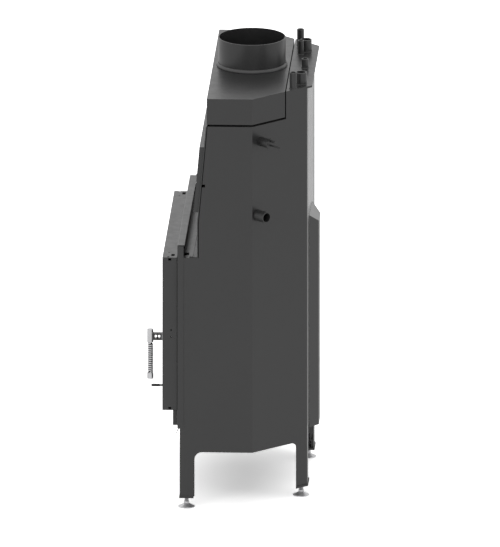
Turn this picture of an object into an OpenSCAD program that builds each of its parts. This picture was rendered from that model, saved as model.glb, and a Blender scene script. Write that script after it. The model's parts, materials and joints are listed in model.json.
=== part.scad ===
// Built-in fireplace insert with a hot-water heat exchanger.
// Millimetres. +Z up, the door faces -Y, the origin is on the floor under the middle of the insert.

/* [Casing] */
// Width over the two side panels
casing_w = 788; // [776:1:800]
// Front of the door to the outside of the back wall
body_depth = 425; // [421:1:440]
// Height of the casing above the lower edge of the side panels
body_h = 1090; // [1080:1:1110]
// Depth and width of the 45 degree rear corners
corner_cut = 156; // [153:1:160]
// Thickness of the casing sheet
sheet = 3; // [2:0.5:3.5]
// Width of the folded lip along the front edge of a side panel
front_lip_w = 38; // [30:1:38]
// Width of the folded lip along the back edge of a side panel
back_lip_w = 64; // [54:1:70]
// Lean of the upper front wall from the vertical, in degrees
front_lean = 5; // [4.6:0.1:5.4]
// Base plate above the lower edge of the side panels
base_rise = 24; // [18:1:30]

/* [Legs and feet] */
// Length of a leg below the side panel
leg_h = 136; // [110:1:160]
// Width of a front leg
leg_front_w = 44; // [42:1:48]
// Width of a rear leg, measured along the depth
leg_rear_w = 32; // [31:1:36]
// Radius of the corner between a front leg and its panel
leg_front_r = 23; // [18:1:26]
// Radius of the corner between a rear leg and its panel
leg_rear_r = 14; // [10:1:18]
// Thickness of the plate under each leg
foot_plate_t = 6; // [5:0.5:8]
// Free height from the floor to the foot plates
foot_h = 34; // [32:1:44]
// Diameter of a levelling foot
foot_base_d = 50; // [46:1:54]
// Diameter of the threaded stem of a levelling foot
foot_stem_d = 12; // [10:1:14]
// Height of the top of the threaded stem above the floor
foot_stem_h = 72; // [70:1:78]
// Distance of a front foot from the outside of the side panel
foot_inset = 30; // [28:1:32]
// Distance of a foot from the front or the back of the casing
foot_edge = 19; // [18:1:21]
// Distance of a rear foot from the end of the back wall
foot_back_inset = 21; // [18:1:24]

/* [Surround frame] */
// Height of the surround frame
surround_h = 566; // [562:1:572]
// Surround frame above the lower edge of the side panels
surround_rise = 73; // [70:1:76]
// Depth of the folded lips of the surround frame
surround_d = 18.5; // [14:0.5:22]
// Sheet thickness of the surround frame
surround_t = 2; // [1.5:0.25:2.25]
// Thickness of the fibre tape behind the surround frame
surround_seal_t = 5; // [4:0.5:6]

/* [Front frame] */
// How far the front frame stands out of the surround frame
frame_d = 14.5; // [13:0.5:16]
// Width of the land outside the centre line of the rope seal
frame_land_out = 12; // [10:0.5:12.5]
// Width of the land inside the centre line of the rope seal
frame_land_in = 17; // [14:0.5:20]
// Top of the front frame below the top of the door
frame_drop = 14; // [12:1:18]

/* [Door] */
// Width of the door
door_w = 752; // [746:1:754]
// Height of the door
door_h = 471; // [465:1:475]
// Door above the lower edge of the surround frame
door_rise = 51; // [48:1:54]
// Depth of the door
door_d = 43.5; // [42:0.5:45]
// Gap between the door and the surround frame
door_gap = 2.1; // [2:0.1:3]
// Thickness of the face plate of the door
door_face_t = 3; // [2.5:0.25:4]
// Thickness of the side walls of the door
door_wall = 2.5; // [2:0.25:3]
// Width of the face plate beside the window
stile_w = 66; // [65:1:70]
// Distance of the centre line of the rope seal from the edge of the door
rope_inset = 45; // [44.5:0.5:48]
// Diameter of the rope seal
rope_d = 10; // [8:0.5:11]
// Thickness of the glass pane
glass_t = 4; // [3:0.5:5]
// Overlap of the glass behind the face plate
glass_lap = 12; // [9:0.5:12]
// Distance of the hinge axis from the side of the door
hinge_inset = 8; // [7.5:0.1:8]
// Diameter of the hinge pins
hinge_pin_d = 8; // [7:0.5:9]

/* [Handle] */
// Distance of the handle axis from the side of the door
handle_inset = 25; // [24:0.5:25.5]
// Height of the handle axis above the bottom of the door
handle_rise = 221; // [200:1:250]
// Diameter of the handle shaft
shaft_d = 12; // [10:0.5:13]
// Gap between the door and the grip
handle_gap = 27.5; // [25:0.5:32]
// Diameter of the grip
grip_d = 19; // [18:0.5:21]
// Length of the grip below the axis
grip_below = 130; // [120:1:140]
// Length of the grip above the axis
grip_above = 22; // [20:1:28]
// Diameter of the spring wire
wire_d = 2.6; // [2.2:0.1:2.8]
// Pitch of the spring
wire_pitch = 5.8; // [5.6:0.1:6.2]
// Height of the stirrup that carries the grip
stirrup_h = 21; // [20:1:24]
// Width of the stirrup that carries the grip
stirrup_w = 16; // [14:1:20]

/* [Air control] */
// Reach of the air knob in front of the door
lever_reach = 51; // [48:1:58]
// Height of the air lever above the lower edge of the surround frame
lever_rise = 25; // [24:1:27]
// Diameter of the air lever
lever_d = 6; // [5:0.5:6.5]
// Diameter of the air knob
knob_d = 8.5; // [8:0.5:10]
// Length of the air knob
knob_len = 26; // [20:1:32]
// Travel of the air lever to each side
lever_travel = 40; // [30:1:45]
// Diameter of the air inlet spigot
air_d = 150; // [120:1:160]
// Length of the air inlet spigot
air_len = 58; // [50:1:66]

/* [Hood and flue] */
// Depth of the hood
hood_d = 229; // [226:1:232]
// Height of the hood
hood_h = 79; // [74:1:86]
// Gap between the hood and the casing under it
hood_gap = 6; // [4:0.5:8]
// Gap between the hood and the boiler top behind it
seam = 3; // [2:0.5:4]
// Depth of the boiler top behind the hood
riser_d = 60; // [58:0.5:62]
// Thickness of the boiler top plate
top_plate_t = 6; // [5:0.5:8]
// Overhang of the boiler top plate behind the back wall
top_overhang = 14.5; // [10:0.5:17]
// Outside diameter of the flue collar
flue_d = 200; // [180:1:204]
// Flue collar behind the middle of the hood
flue_shift = 2; // [0:0.5:4]
// Height of the flue collar
flue_h = 87; // [70:1:110]
// Wall thickness of the flue collar
flue_t = 2.5; // [2:0.5:4]

/* [Pipes] */
// Outside diameter of the flow and return pipes
main_pipe_d = 33.7; // [32:0.1:35]
// Bore of the flow and return pipes
main_pipe_bore = 27.3; // [25:0.1:28]
// Outside diameter of the cooling loop pipes
small_pipe_d = 21.3; // [20:0.1:22]
// Bore of the cooling loop pipes
small_pipe_bore = 16.1; // [15:0.1:17]
// Length of the flow pipes above the boiler top
flow_len = 36; // [30:1:44]
// Length of the cooling loop pipes above the boiler top
cooling_len = 50; // [42:1:56]
// Length of the return pipes outside the casing
return_len = 40; // [34:1:46]
// Height of the return pipes above the lower edge of the side panels
return_rise = 730; // [722:1:740]
// Thickness of the walls of the water vessel
vessel_t = 4; // [3:0.5:5]
// Length of the safety sensor pocket outside the casing
pocket_len = 40; // [34:1:44]
// Height of the safety sensor pocket above the lower edge of the side panels
pocket_rise = 954; // [940:1:965]

/* [Rear duct] */
// Depth of the rear air duct
duct_d = 26; // [22:0.5:28]
// Width of the rear air duct on the back wall
duct_base_w = 166; // [156:1:176]
// Width of the outer face of the rear air duct
duct_face_w = 92; // [84:1:100]
// Length of the rear air duct
duct_h = 654; // [644:1:664]
// Sheet thickness of the rear air duct
duct_t = 2; // [1.5:0.25:2.5]

/* [Firebox] */
// Thickness of the firebox shell
shell_t = 4; // [3:0.5:4]
// Gap between the casing and the firebox shell
shell_gap = 40; // [38:0.5:42]
// Thickness of the wall lining
lining_t = 30; // [25:1:34]
// Thickness of the floor slab
slab_t = 34; // [30:1:36]
// Width of the grate
grate_w = 222; // [200:1:240]
// Depth of the grate
grate_d = 162; // [150:1:180]
// Thickness of the grate
grate_t = 14; // [12:1:16]
// Thickness of the baffle
baffle_t = 25; // [20:1:30]

/* [Hidden] */
$fn = 64;

// Clearance between pieces that seat on each other, running clearance on a radius, and the overrun of a cut
fit = 0.3;
run = 0.08;
cut = 1;

steel = [0.27, 0.27, 0.275];
dark_steel = [0.15, 0.15, 0.155];
bright = [0.75, 0.75, 0.76];
cast = [0.12, 0.12, 0.125];
stone = [0.72, 0.66, 0.56];
fibre = [0.55, 0.54, 0.5];

// Depth that a fold of the 45 degree corner takes, per unit of sheet thickness
fold_share = tan(22.5);

// Heights
z_leg = foot_h + foot_plate_t;
z_panel = z_leg + leg_h;
z_top = z_panel + body_h;
z_riser_top = z_top - top_plate_t;
z_base = z_panel + base_rise;
z_surround = z_panel + surround_rise;
z_surround_top = z_surround + surround_h;
z_door = z_surround + door_rise;
z_door_top = z_door + door_h;
z_frame_top = z_door_top - frame_drop;
z_handle = z_door + handle_rise;
z_lever = z_surround + lever_rise;
z_hood = z_top - hood_h;
z_panel_cut = z_hood - hood_gap;

// Depths, from the tip of the air knob to the outside of the rear duct
y_tip = -(lever_reach + body_depth + duct_d) / 2;
y_door = y_tip + lever_reach;
y_door_back = y_door + door_d;
y_surround = y_door_back + door_gap;
y_surround_back = y_surround + surround_t;
y_frame = y_surround - frame_d;
y_panel = y_surround_back + surround_seal_t;
y_back = y_door + body_depth;
y_fold = y_back - corner_cut;
y_riser = y_back - riser_d;
y_hood_back = y_riser - seam;
y_hood = y_hood_back - hood_d;
y_flue = (y_hood + y_hood_back) / 2 + flue_shift;

// Half widths
half_w = casing_w / 2;
half_back = half_w - corner_cut;
half_door = door_w / 2;

// Top of the folded shelf behind the surround frame
shelf_above_door = 4;
z_shelf = z_door_top + shelf_above_door;

// Outside of the front wall at a height: upright over the shelf, and leaning back above the bend
wall_out = 2.5;
wall_gap = 2;
bend_rise = 107;
z_bend = z_shelf + bend_rise;
function y_lean(z) = y_hood - wall_out - (z_panel_cut - max(z, z_bend)) * tan(front_lean);

// Front edge of the side panels behind the front wall
function y_edge(z) = y_lean(z) + sheet + wall_gap;

// Half width of the casing at a depth behind the fold, for an outline set in by t
function half_at(y, t) = half_w + y_fold - y - t * sqrt(2);

// Plan outline of the casing, set in by t, from depth y0 to depth y1 behind the fold
function plan(t, y0, y1) = [
    [-(half_w - t), y0],
    [half_w - t, y0],
    [half_w - t, y_fold - t * fold_share],
    [half_at(y1, t), y1],
    [-half_at(y1, t), y1],
    [-(half_w - t), y_fold - t * fold_share]
];

// Extrudes a side profile, given as [depth, height], over the width
module across(w) {
    rotate([90, 0, 90]) linear_extrude(height = w, center = true) children();
}

// Extrudes a front profile, given as [width, height], from depth y0 back over a depth d
module inward(y0, d) {
    translate([0, y0 + d, 0]) rotate([90, 0, 0]) linear_extrude(height = d) children();
}

// Cylinder along the depth, from depth y0 to depth y1
module rod_y(x, z, d, y0, y1) {
    translate([x, y1, z]) rotate([90, 0, 0]) cylinder(d = d, h = y1 - y0);
}

// Block between two corners
module block(low, high) {
    translate(low) cube(high - low);
}

module both_sides() {
    children();
    mirror([1, 0, 0]) children();
}

// Rectangle on the centre line, from height z0 to height z1
module pane(w, z0, z1) {
    translate([-w / 2, z0]) square([w, z1 - z0]);
}

// Rectangular ring on the centre line: outer half width and heights, and the width of its sides
module ring(half, z0, z1, side) {
    difference() {
        pane(2 * half, z0, z1);
        pane(2 * (half - side), z0 + side, z1 - side);
    }
}

// Frame of a pipe that stands square on the right 45 degree corner, a distance b back from the fold
module on_corner(b, z) {
    translate([half_w - b, y_fold + b, z]) rotate([0, 90, 45]) children();
}

module tube(d, bore, h) {
    difference() {
        cylinder(d = d, h = h);
        translate([0, 0, -cut]) cylinder(d = bore, h = h + 2 * cut);
    }
}

// Casing
return_back = 15;
pocket_back = 26;
pocket_d = 28;
notch_h = 9;
notch_drop = 188;
notch_z = z_panel_cut - notch_drop;

// Places of the screws that hold the surround frame to the front lips, as shares of its height
screw_d = 5;
screw_head_d = 9;
screw_head_t = 3;
screw_inset = 12;
screw_z_shares = [0.06, 0.35, 0.65, 0.9];
function screw_z(share) = z_surround + share * surround_h;

module surround_screw_holes(y0, y1) {
    for (share = screw_z_shares)
        both_sides() rod_y(half_w - screw_inset, screw_z(share), screw_d + 2 * fit, y0, y1);
}

module side_sheet() {
    t = sheet;
    polygon([
        [half_w - front_lip_w, y_panel],
        [half_w, y_panel],
        [half_w, y_fold],
        [half_back, y_back],
        [half_back - back_lip_w, y_back],
        [half_back - back_lip_w, y_back - t],
        [half_back - t * fold_share, y_back - t],
        [half_w - t, y_fold - t * fold_share],
        [half_w - t, y_panel + t],
        [half_w - front_lip_w, y_panel + t]
    ]);
}

module side_profile() {
    polygon([
        [y_panel, z_leg],
        [y_panel, z_shelf],
        [y_edge(z_shelf), z_shelf],
        [y_edge(z_bend), z_bend],
        [y_edge(z_panel_cut), z_panel_cut],
        [y_riser, z_panel_cut],
        [y_riser, z_riser_top],
        [y_back, z_riser_top],
        [y_back, z_leg]
    ]);
}

// Opening between the legs, with a round corner at each leg
module leg_gap() {
    y0 = y_panel + leg_front_w;
    y1 = y_back - leg_rear_w;
    low = z_leg - cut;
    translate([y0, low]) square([y1 - y0, z_panel - leg_front_r - low]);
    translate([y0 + leg_front_r, low]) square([y1 - leg_rear_r - y0 - leg_front_r, z_panel - low]);
    translate([y1 - leg_front_r, low]) square([leg_front_r, z_panel - leg_rear_r - low]);
    translate([y0 + leg_front_r, z_panel - leg_front_r]) circle(r = leg_front_r);
    translate([y1 - leg_rear_r, z_panel - leg_rear_r]) circle(r = leg_rear_r);
}

module side_panel(has_pocket) {
    color(steel) difference() {
        intersection() {
            linear_extrude(height = z_top) side_sheet();
            across(2 * casing_w) side_profile();
        }
        across(2 * casing_w) leg_gap();
        on_corner(return_back, z_panel + return_rise)
            cylinder(d = main_pipe_d + 2 * fit, h = 4 * sheet, center = true);
        if (has_pocket)
            on_corner(pocket_back, z_panel + pocket_rise)
                cylinder(d = pocket_d + 2 * fit, h = 4 * sheet, center = true);
        across(2 * casing_w)
            translate([y_edge(notch_z) - notch_h, notch_z]) square([2 * notch_h, notch_h]);
        surround_screw_holes(y_panel - cut, y_panel + sheet + cut);
    }
}

module side_panel_right() side_panel(true);

module side_panel_left() mirror([1, 0, 0]) side_panel(false);

// Rear duct and the two slots that join it to the casing
duct_drop = 4;
duct_slot_w = 60;
duct_slot_h = 40;
z_duct = z_panel - duct_drop;

module back_panel() {
    low_slot = z_base + duct_slot_h;
    high_slot = z_duct + duct_h - 2 * duct_slot_h;
    color(steel) difference() {
        inward(y_back - sheet, sheet) pane(2 * (half_back - back_lip_w - fit), z_base, z_riser_top);
        for (z = [low_slot, high_slot])
            inward(y_back - sheet - cut, sheet + 2 * cut) pane(duct_slot_w, z, z + duct_slot_h);
    }
}

module base_plate() {
    t = sheet + fit;
    color(steel) difference() {
        translate([0, 0, z_base]) linear_extrude(height = sheet) polygon(plan(t, y_panel + t, y_back - t));
        translate([0, y_flue, z_base - cut]) cylinder(d = air_d - 2 * air_t, h = sheet + 2 * cut);
    }
}

// Levelling feet, their nuts and the plates under the legs
foot_front = [half_w - foot_inset, y_panel + foot_edge];
foot_rear = [half_back - foot_back_inset, y_back - foot_edge];
foot_rim_t = 3;
foot_cone_h = 9;
foot_hex_d = 18;
foot_hex_h = 6;
foot_clear = 0.4;
nut_d = 22;
nut_h = 10;
plate_lip = 3;
bracket_h = 25;
bracket_t = 4;

module at_feet() {
    both_sides() {
        translate(foot_front) children();
        translate(foot_rear) children();
    }
}

module foot() {
    neck = foot_rim_t + foot_cone_h;
    color(bright) {
        cylinder(d = foot_base_d, h = foot_rim_t);
        translate([0, 0, foot_rim_t]) cylinder(d1 = foot_base_d, d2 = foot_hex_d, h = foot_cone_h);
        translate([0, 0, neck]) cylinder(d = foot_hex_d, h = foot_hex_h, $fn = 6);
        cylinder(d = foot_stem_d, h = foot_stem_h);
    }
}

module foot_front_right() translate(foot_front) foot();

module foot_front_left() mirror([1, 0, 0]) foot_front_right();

module foot_rear_right() translate(foot_rear) foot();

module foot_rear_left() mirror([1, 0, 0]) foot_rear_right();

module stem_bore(z, h) {
    translate([0, 0, z - cut]) cylinder(d = foot_stem_d + 2 * foot_clear, h = h + 2 * cut);
}

module foot_nuts() {
    color(bright) at_feet() difference() {
        translate([0, 0, z_leg]) cylinder(d = nut_d, h = nut_h, $fn = 6);
        stem_bore(z_leg, nut_h);
    }
}

// A flat plate under the leg, with an upright tab against the inside of its sheet
module foot_plates() {
    reach = front_lip_w + plate_lip;
    tab = sheet + fit;
    color(steel) {
        both_sides() difference() {
            union() {
                block([half_w - reach, y_panel - plate_lip / 2, foot_h],
                    [half_w + plate_lip / 2, y_panel + leg_front_w - plate_lip, z_leg]);
                block([half_w - tab - bracket_t, y_panel + tab, z_leg],
                    [half_w - tab, y_panel + leg_front_w - tab, z_leg + bracket_h]);
            }
            translate(foot_front) stem_bore(foot_h, foot_plate_t);
        }
        both_sides() difference() {
            union() {
                translate([0, 0, foot_h]) linear_extrude(height = foot_plate_t) polygon([
                    [half_back - back_lip_w - foot_edge / 2, y_back + plate_lip],
                    [half_back + plate_lip * fold_share, y_back + plate_lip],
                    [half_at(y_back - leg_rear_w, -plate_lip), y_back - leg_rear_w],
                    [half_at(y_back - leg_rear_w, foot_base_d), y_back - leg_rear_w - plate_lip],
                    [half_back - back_lip_w - foot_edge / 2, y_back - leg_rear_w - plate_lip]
                ]);
                block([half_back - back_lip_w + fit, y_back - tab - bracket_t, z_leg],
                    [half_back - tab - bracket_t, y_back - tab, z_leg + bracket_h]);
            }
            translate(foot_rear) stem_bore(foot_h, foot_plate_t);
        }
    }
}

// Surround frame: a plate with lips folded back over the front of the casing
half_surround = half_w + fit + surround_t;
half_land = half_door - rope_inset + frame_land_out;
half_open = half_door - rope_inset - frame_land_in;
z_open = z_door + rope_inset + frame_land_in;
z_open_top = z_door_top - rope_inset - frame_land_in;

// Open seam between the top lip and each side lip
seam_h = 1.5;
fold_r = 2.5;

// Takes the corner off a folded edge that runs along X, at [y, z], with the metal towards side
module fold_along_x(y, z, side) {
    across(2 * half_surround + 2 * cut) difference() {
        translate([y - cut, side > 0 ? z - cut : z - fold_r]) square([fold_r + cut, fold_r + cut]);
        translate([y + fold_r, z + side * fold_r]) circle(r = fold_r);
    }
}

// The same for both upright folded edges
module fold_along_z(y) {
    both_sides() translate([0, 0, z_surround - cut])
        linear_extrude(height = z_surround_top - z_surround + 2 * cut) difference() {
            translate([half_surround - fold_r, y - cut]) square([fold_r + cut, fold_r + cut]);
            translate([half_surround - fold_r, y + fold_r]) circle(r = fold_r);
        }
}

module surround_frame() {
    color(steel) difference() {
        inward(y_surround, surround_d) pane(2 * half_surround, z_surround, z_surround_top);
        inward(y_surround_back, surround_d) pane(2 * (half_surround - surround_t),
            z_surround + surround_t, z_surround_top - surround_t);
        inward(y_surround - cut, surround_t + 2 * cut) pane(2 * half_open, z_open, z_open_top);
        fold_along_x(y_surround, z_surround_top, -1);
        fold_along_x(y_surround, z_surround, 1);
        fold_along_z(y_surround);
        ports(y_surround, surround_t);
        surround_screw_holes(y_surround - cut, y_surround_back + cut);
        both_sides() block([half_w, y_surround_back, z_surround_top - surround_t - seam_h],
            [half_surround + cut, y_surround + surround_d + cut, z_surround_top - surround_t]);
        both_sides() block([half_w - front_lip_w - fit, y_panel - fit, z_surround - cut],
            [half_w + fit, y_surround + surround_d + cut, z_surround + surround_t + cut]);
    }
}

// Two flat rings of fibre tape: on the casing lips, and on the flange of the firebox
seal_w = 22;
seal_inset = 4;

module surround_seal() {
    color(fibre) difference() {
        inward(y_surround_back, surround_seal_t) {
            ring(half_w - seal_inset, z_surround + seal_inset, z_shelf, seal_w);
            ring(half_open + seal_w + seal_inset, z_open - seal_w - seal_inset,
                z_open_top + seal_w + seal_inset, seal_w);
        }
        surround_screw_holes(y_surround_back - cut, y_panel + cut);
    }
}

module surround_screws() {
    color(dark_steel) for (share = screw_z_shares) both_sides() {
        x = half_w - screw_inset;
        rod_y(x, screw_z(share), screw_head_d, y_surround - screw_head_t, y_surround);
        rod_y(x, screw_z(share), screw_d, y_surround - screw_head_t, y_panel + 2 * sheet);
    }
}

// Bent clips that hang from the lower lip of the surround frame
clip_leaf_t = 1.5;
clip_leaf_w = 12;
clip_leaf_h = 19;
clip_leaf_out = 9;
clip_leaf_inset = 16;

module surround_clips() {
    y = y_panel - fit - clip_leaf_t;
    bend = 2 / 3 * clip_leaf_out;
    color(dark_steel) both_sides() translate([half_w - clip_leaf_inset, 0, 0]) across(clip_leaf_w) polygon([
        [y, z_surround],
        [y - bend, z_surround - clip_leaf_h / 2],
        [y - clip_leaf_out, z_surround - clip_leaf_h],
        [y - clip_leaf_out + clip_leaf_t, z_surround - clip_leaf_h],
        [y - bend + clip_leaf_t, z_surround - clip_leaf_h / 2],
        [y + clip_leaf_t, z_surround]
    ]);
}

// Front frame: a hollow ring that the door closes on, with a wider strip for the air lever under the door
frame_t = 3;
strip_inset = 8;
strip_gap = 3;
half_strip = half_door - strip_inset;
z_strip = z_surround + strip_gap;
z_strip_top = z_door - strip_gap;

module frame_outline(t) {
    difference() {
        union() {
            pane(2 * (half_land - t), z_strip + t, z_frame_top - t);
            pane(2 * (half_strip - t), z_strip + t, z_strip_top - t);
        }
        pane(2 * (half_open + t), z_open - t, z_open_top + t);
    }
}

// Latch: the tongue turns through a slot in the side of the front frame and pulls on the keeper
x_handle = half_door - handle_inset;
tongue_w = 11;
tongue_t = 4;
tongue_reach = 17;
tongue_pin_d = 8;
keeper_lip = 3;
keeper_w = 12;
latch_gap = 1;
latch_h = 48;
keeper_h = 60;
y_tongue = y_frame + frame_t + keeper_lip + latch_gap;

module latch_slot() {
    block([half_land - frame_t - keeper_w + keeper_lip, y_tongue - latch_gap, z_handle - latch_h / 2],
        [half_land + cut, y_tongue + tongue_t + latch_gap, z_handle + latch_h / 2]);
}

module latch_keeper() {
    color(dark_steel) difference() {
        block([half_land - frame_t - keeper_w, y_frame + frame_t, z_handle - keeper_h / 2],
            [half_land - frame_t, y_surround, z_handle + keeper_h / 2]);
        latch_slot();
    }
}

module front_frame() {
    slot = lever_travel + lever_d / 2 + slot_play;
    color(dark_steel) difference() {
        inward(y_frame, frame_d) frame_outline(0);
        inward(y_frame + frame_t, frame_d) frame_outline(frame_t);
        inward(y_frame - cut, frame_t + 2 * cut)
            pane(2 * slot, z_lever - lever_d / 2 - slot_play, z_lever + lever_d / 2 + slot_play);
        latch_slot();
    }
}

// Air valve: a sliding plate with two ports behind the strip, moved by the lever
slot_play = 1;
slider_t = 3;
slider_h = 24;
port_w = 46;
port_h = 14;
port_gap = 70;
rail_h = 4;
valve_half = 190;
slider_half = 120;
y_slider = y_frame + frame_t + fit;
y_valve = y_slider + slider_t + fit;

module ports(y0, d) {
    for (i = [-1, 1])
        translate([i * port_gap, 0, 0]) inward(y0 - cut, d + 2 * cut)
            pane(port_w, z_lever - port_h / 2, z_lever + port_h / 2);
}

module air_valve() {
    reach = slider_h / 2 + fit + rail_h;
    color(dark_steel) difference() {
        inward(y_frame + frame_t, y_surround - y_frame - frame_t)
            pane(2 * valve_half, z_lever - reach, z_lever + reach);
        inward(y_frame + frame_t - cut, y_valve - y_frame - frame_t + cut)
            pane(2 * valve_half + 2 * cut, z_lever - slider_h / 2 - fit, z_lever + slider_h / 2 + fit);
        ports(y_valve, y_surround - y_valve);
    }
}

module air_slider() {
    color(dark_steel) {
        difference() {
            inward(y_slider, slider_t) pane(2 * slider_half, z_lever - slider_h / 2, z_lever + slider_h / 2);
            ports(y_slider, slider_t);
        }
        rod_y(0, z_lever, lever_d, y_tip + knob_len / 2, y_slider + slider_t);
    }
}

module air_knob() {
    tip_r = knob_d / 2;
    color(bright) difference() {
        union() {
            rod_y(0, z_lever, knob_d, y_tip + tip_r, y_tip + knob_len);
            translate([0, y_tip + tip_r, z_lever]) sphere(r = tip_r);
        }
        rod_y(0, z_lever, lever_d + 2 * run, y_tip + knob_len / 2 - run, y_tip + knob_len + cut);
    }
}

// External air spigot under the base
air_t = 2;

module air_spigot() {
    color(steel) translate([0, y_flue, z_base - air_len]) tube(air_d, air_d - 2 * air_t, air_len);
}

// Door
hinge_back = 26;
x_hinge = -(half_door - hinge_inset);
y_hinge = y_door_back - hinge_back;
frame_play = 2;
hinge_gap = 2;
hinge_t = 4;
hinge_r = 7;
hinge_slot_h = 10;
bush_flange_d = 24;
bush_flange_t = 2;
bush_d = 18;
bush_len = 14;
half_window = half_door - stile_w;

// Holes and slots at both ends of the door, so that it can be hung on either side
spare_hole_d = 5;
spare_hole_in = 46;
spare_slot_in = 8;
spare_slot_w = 24;
spare_slot_back = 8;
spare_slot_d = 10;
side_slot_h = 7;
side_slot_d = 9;
latch_screw_rises = [5, 26];

module door_frame() {
    w = door_wall;
    y_wall = y_door + door_face_t;
    color(steel) difference() {
        inward(y_door, door_d) pane(door_w, z_door, z_door_top);
        inward(y_wall, door_d) pane(door_w - 2 * w, z_door + w, z_door_top - w);
        inward(y_frame - frame_play, door_d) pane(door_w - 2 * w, z_door - cut, z_door + 2 * w);
        inward(y_door - cut, door_face_t + 2 * cut)
            pane(2 * half_window, z_door + stile_w, z_door_top - stile_w);
        rod_y(x_handle, z_handle, bush_d + 2 * run, y_door - cut, y_wall + cut);
        for (z = [z_door, z_door_top - w]) both_sides() {
            translate([x_hinge, y_hinge, z - cut]) cylinder(d = hinge_pin_d + 2 * run, h = w + 2 * cut);
            translate([x_hinge + spare_hole_in, y_hinge, z - cut])
                cylinder(d = spare_hole_d, h = w + 2 * cut);
            translate([x_hinge + spare_slot_in, y_hinge + spare_slot_back, z - cut])
                cube([spare_slot_w, spare_slot_d, w + 2 * cut]);
        }
        for (z = [z_door + w, z_door_top - w - hinge_slot_h])
            block([-half_door - cut, y_hinge - hinge_r - fit, z],
                [-half_door + w + cut, y_door_back + cut, z + hinge_slot_h]);
        for (z = [z_door + w, z_door_top - w - side_slot_h])
            translate([half_door - w - cut, y_hinge, z]) cube([w + 2 * cut, side_slot_d, side_slot_h]);
        for (rise = latch_screw_rises)
            translate([half_door - w - cut, y_hinge + side_slot_d, z_handle + rise])
                rotate([0, 90, 0]) cylinder(d = spare_hole_d, h = w + 2 * cut);
    }
}

// Glass pane between fibre tape and clips
seal_t = 2;
clip_t = 2;
clip_w = 26;
clip_grip = 6;
half_glass = half_window + glass_lap;
z_glass = z_door + stile_w - glass_lap;
z_glass_top = z_door_top - stile_w + glass_lap;
y_seal = y_door + door_face_t;
y_glass = y_seal + seal_t;
y_clip = y_glass + glass_t;

module glass_seal() {
    color(fibre) inward(y_seal, seal_t) ring(half_glass, z_glass, z_glass_top, glass_lap - seal_t);
}

module door_glass() {
    color([0.2, 0.2, 0.2, 0.5]) inward(y_glass, glass_t) pane(2 * half_glass, z_glass, z_glass_top);
}

module glass_clips() {
    x_out = rope_half - rope_side - rope_wall;
    z_out = z_rope + rope_side + rope_wall;
    z_out_top = z_rope_top - rope_side - rope_wall;
    color(dark_steel) {
        for (share = clip_shares) {
            x = share * half_glass;
            z = (z_glass + z_glass_top) / 2 + share * (z_glass_top - z_glass) / 2;
            both_sides() block([half_glass - clip_grip, y_clip, z - clip_w / 2],
                [x_out, y_clip + clip_t, z + clip_w / 2]);
            block([x - clip_w / 2, y_clip, z_glass_top - clip_grip],
                [x + clip_w / 2, y_clip + clip_t, z_out_top]);
            block([x - clip_w / 2, y_clip, z_out], [x + clip_w / 2, y_clip + clip_t, z_glass + clip_grip]);
        }
    }
}

clip_shares = [-0.6, 0.6];

// Rope seal in its channel
rope_wall = 2;
rope_floor = 2;
rope_stand = 4;
rope_side = rope_d / 2 + fit;
rope_half = half_door - rope_inset;
z_rope = z_door + rope_inset;
z_rope_top = z_door_top - rope_inset;
y_rope = y_frame - fit - rope_d / 2;
y_rope_floor = y_rope - rope_side - rope_floor;

module rope_channel() {
    out = rope_side + rope_wall;
    y_lip = y_frame - rope_stand;
    color(dark_steel) difference() {
        inward(y_seal, y_lip - y_seal) ring(rope_half + out, z_rope - out, z_rope_top + out, 2 * out);
        inward(y_seal - cut, y_rope_floor - y_seal + cut)
            ring(rope_half + rope_side, z_rope - rope_side, z_rope_top + rope_side, 2 * rope_side);
        inward(y_rope_floor + rope_floor, rope_d + cut)
            ring(rope_half + rope_side, z_rope - rope_side, z_rope_top + rope_side, 2 * rope_side);
    }
}

module rope_seal() {
    color(fibre) {
        for (z = [z_rope, z_rope_top])
            translate([-rope_half, y_rope, z]) rotate([0, 90, 0]) cylinder(d = rope_d, h = 2 * rope_half);
        both_sides() translate([rope_half, y_rope, z_rope]) cylinder(d = rope_d, h = z_rope_top - z_rope);
        for (z = [z_rope, z_rope_top]) both_sides() translate([rope_half, y_rope, z]) sphere(d = rope_d);
    }
}

// Hinges: a bracket at each end of the front frame carries a pin that runs in the wall of the door
module hinge_bracket(z_plate, z_boss, x_end) {
    difference() {
        union() {
            translate([0, 0, z_plate]) linear_extrude(height = hinge_t) {
                translate([x_hinge, y_hinge]) circle(r = hinge_r);
                polygon([
                    [x_hinge, y_hinge - hinge_r],
                    [x_end, y_frame + fit],
                    [x_end, y_surround - fit],
                    [x_hinge + hinge_r, y_hinge + hinge_r],
                    [x_hinge, y_hinge + hinge_r]
                ]);
            }
            translate([x_hinge, y_hinge, z_boss]) cylinder(r = hinge_r, h = hinge_gap - fit);
        }
        translate([x_hinge, y_hinge, z_plate - hinge_t])
            cylinder(d = hinge_pin_d + 2 * run, h = 3 * hinge_t);
    }
}

z_hinge_low = z_door + door_wall + hinge_gap;
z_hinge_high = z_door_top - door_wall - hinge_gap - hinge_t;
hinge_foot_w = 30;

module hinge_brackets() {
    color(dark_steel) {
        hinge_bracket(z_hinge_low, z_hinge_low - hinge_gap + fit, -half_land);
        hinge_bracket(z_hinge_high, z_hinge_high + hinge_t, -half_land + hinge_foot_w);
        block([-half_land, y_frame + fit, z_frame_top],
            [-half_land + hinge_foot_w, y_surround - fit, z_hinge_high]);
    }
}

module hinge_pins() {
    h = door_wall + hinge_gap + 2 * hinge_t;
    color(bright) {
        translate([x_hinge, y_hinge, z_door]) cylinder(d = hinge_pin_d, h = h);
        translate([x_hinge, y_hinge, z_door_top - h]) cylinder(d = hinge_pin_d, h = h);
    }
}

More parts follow.
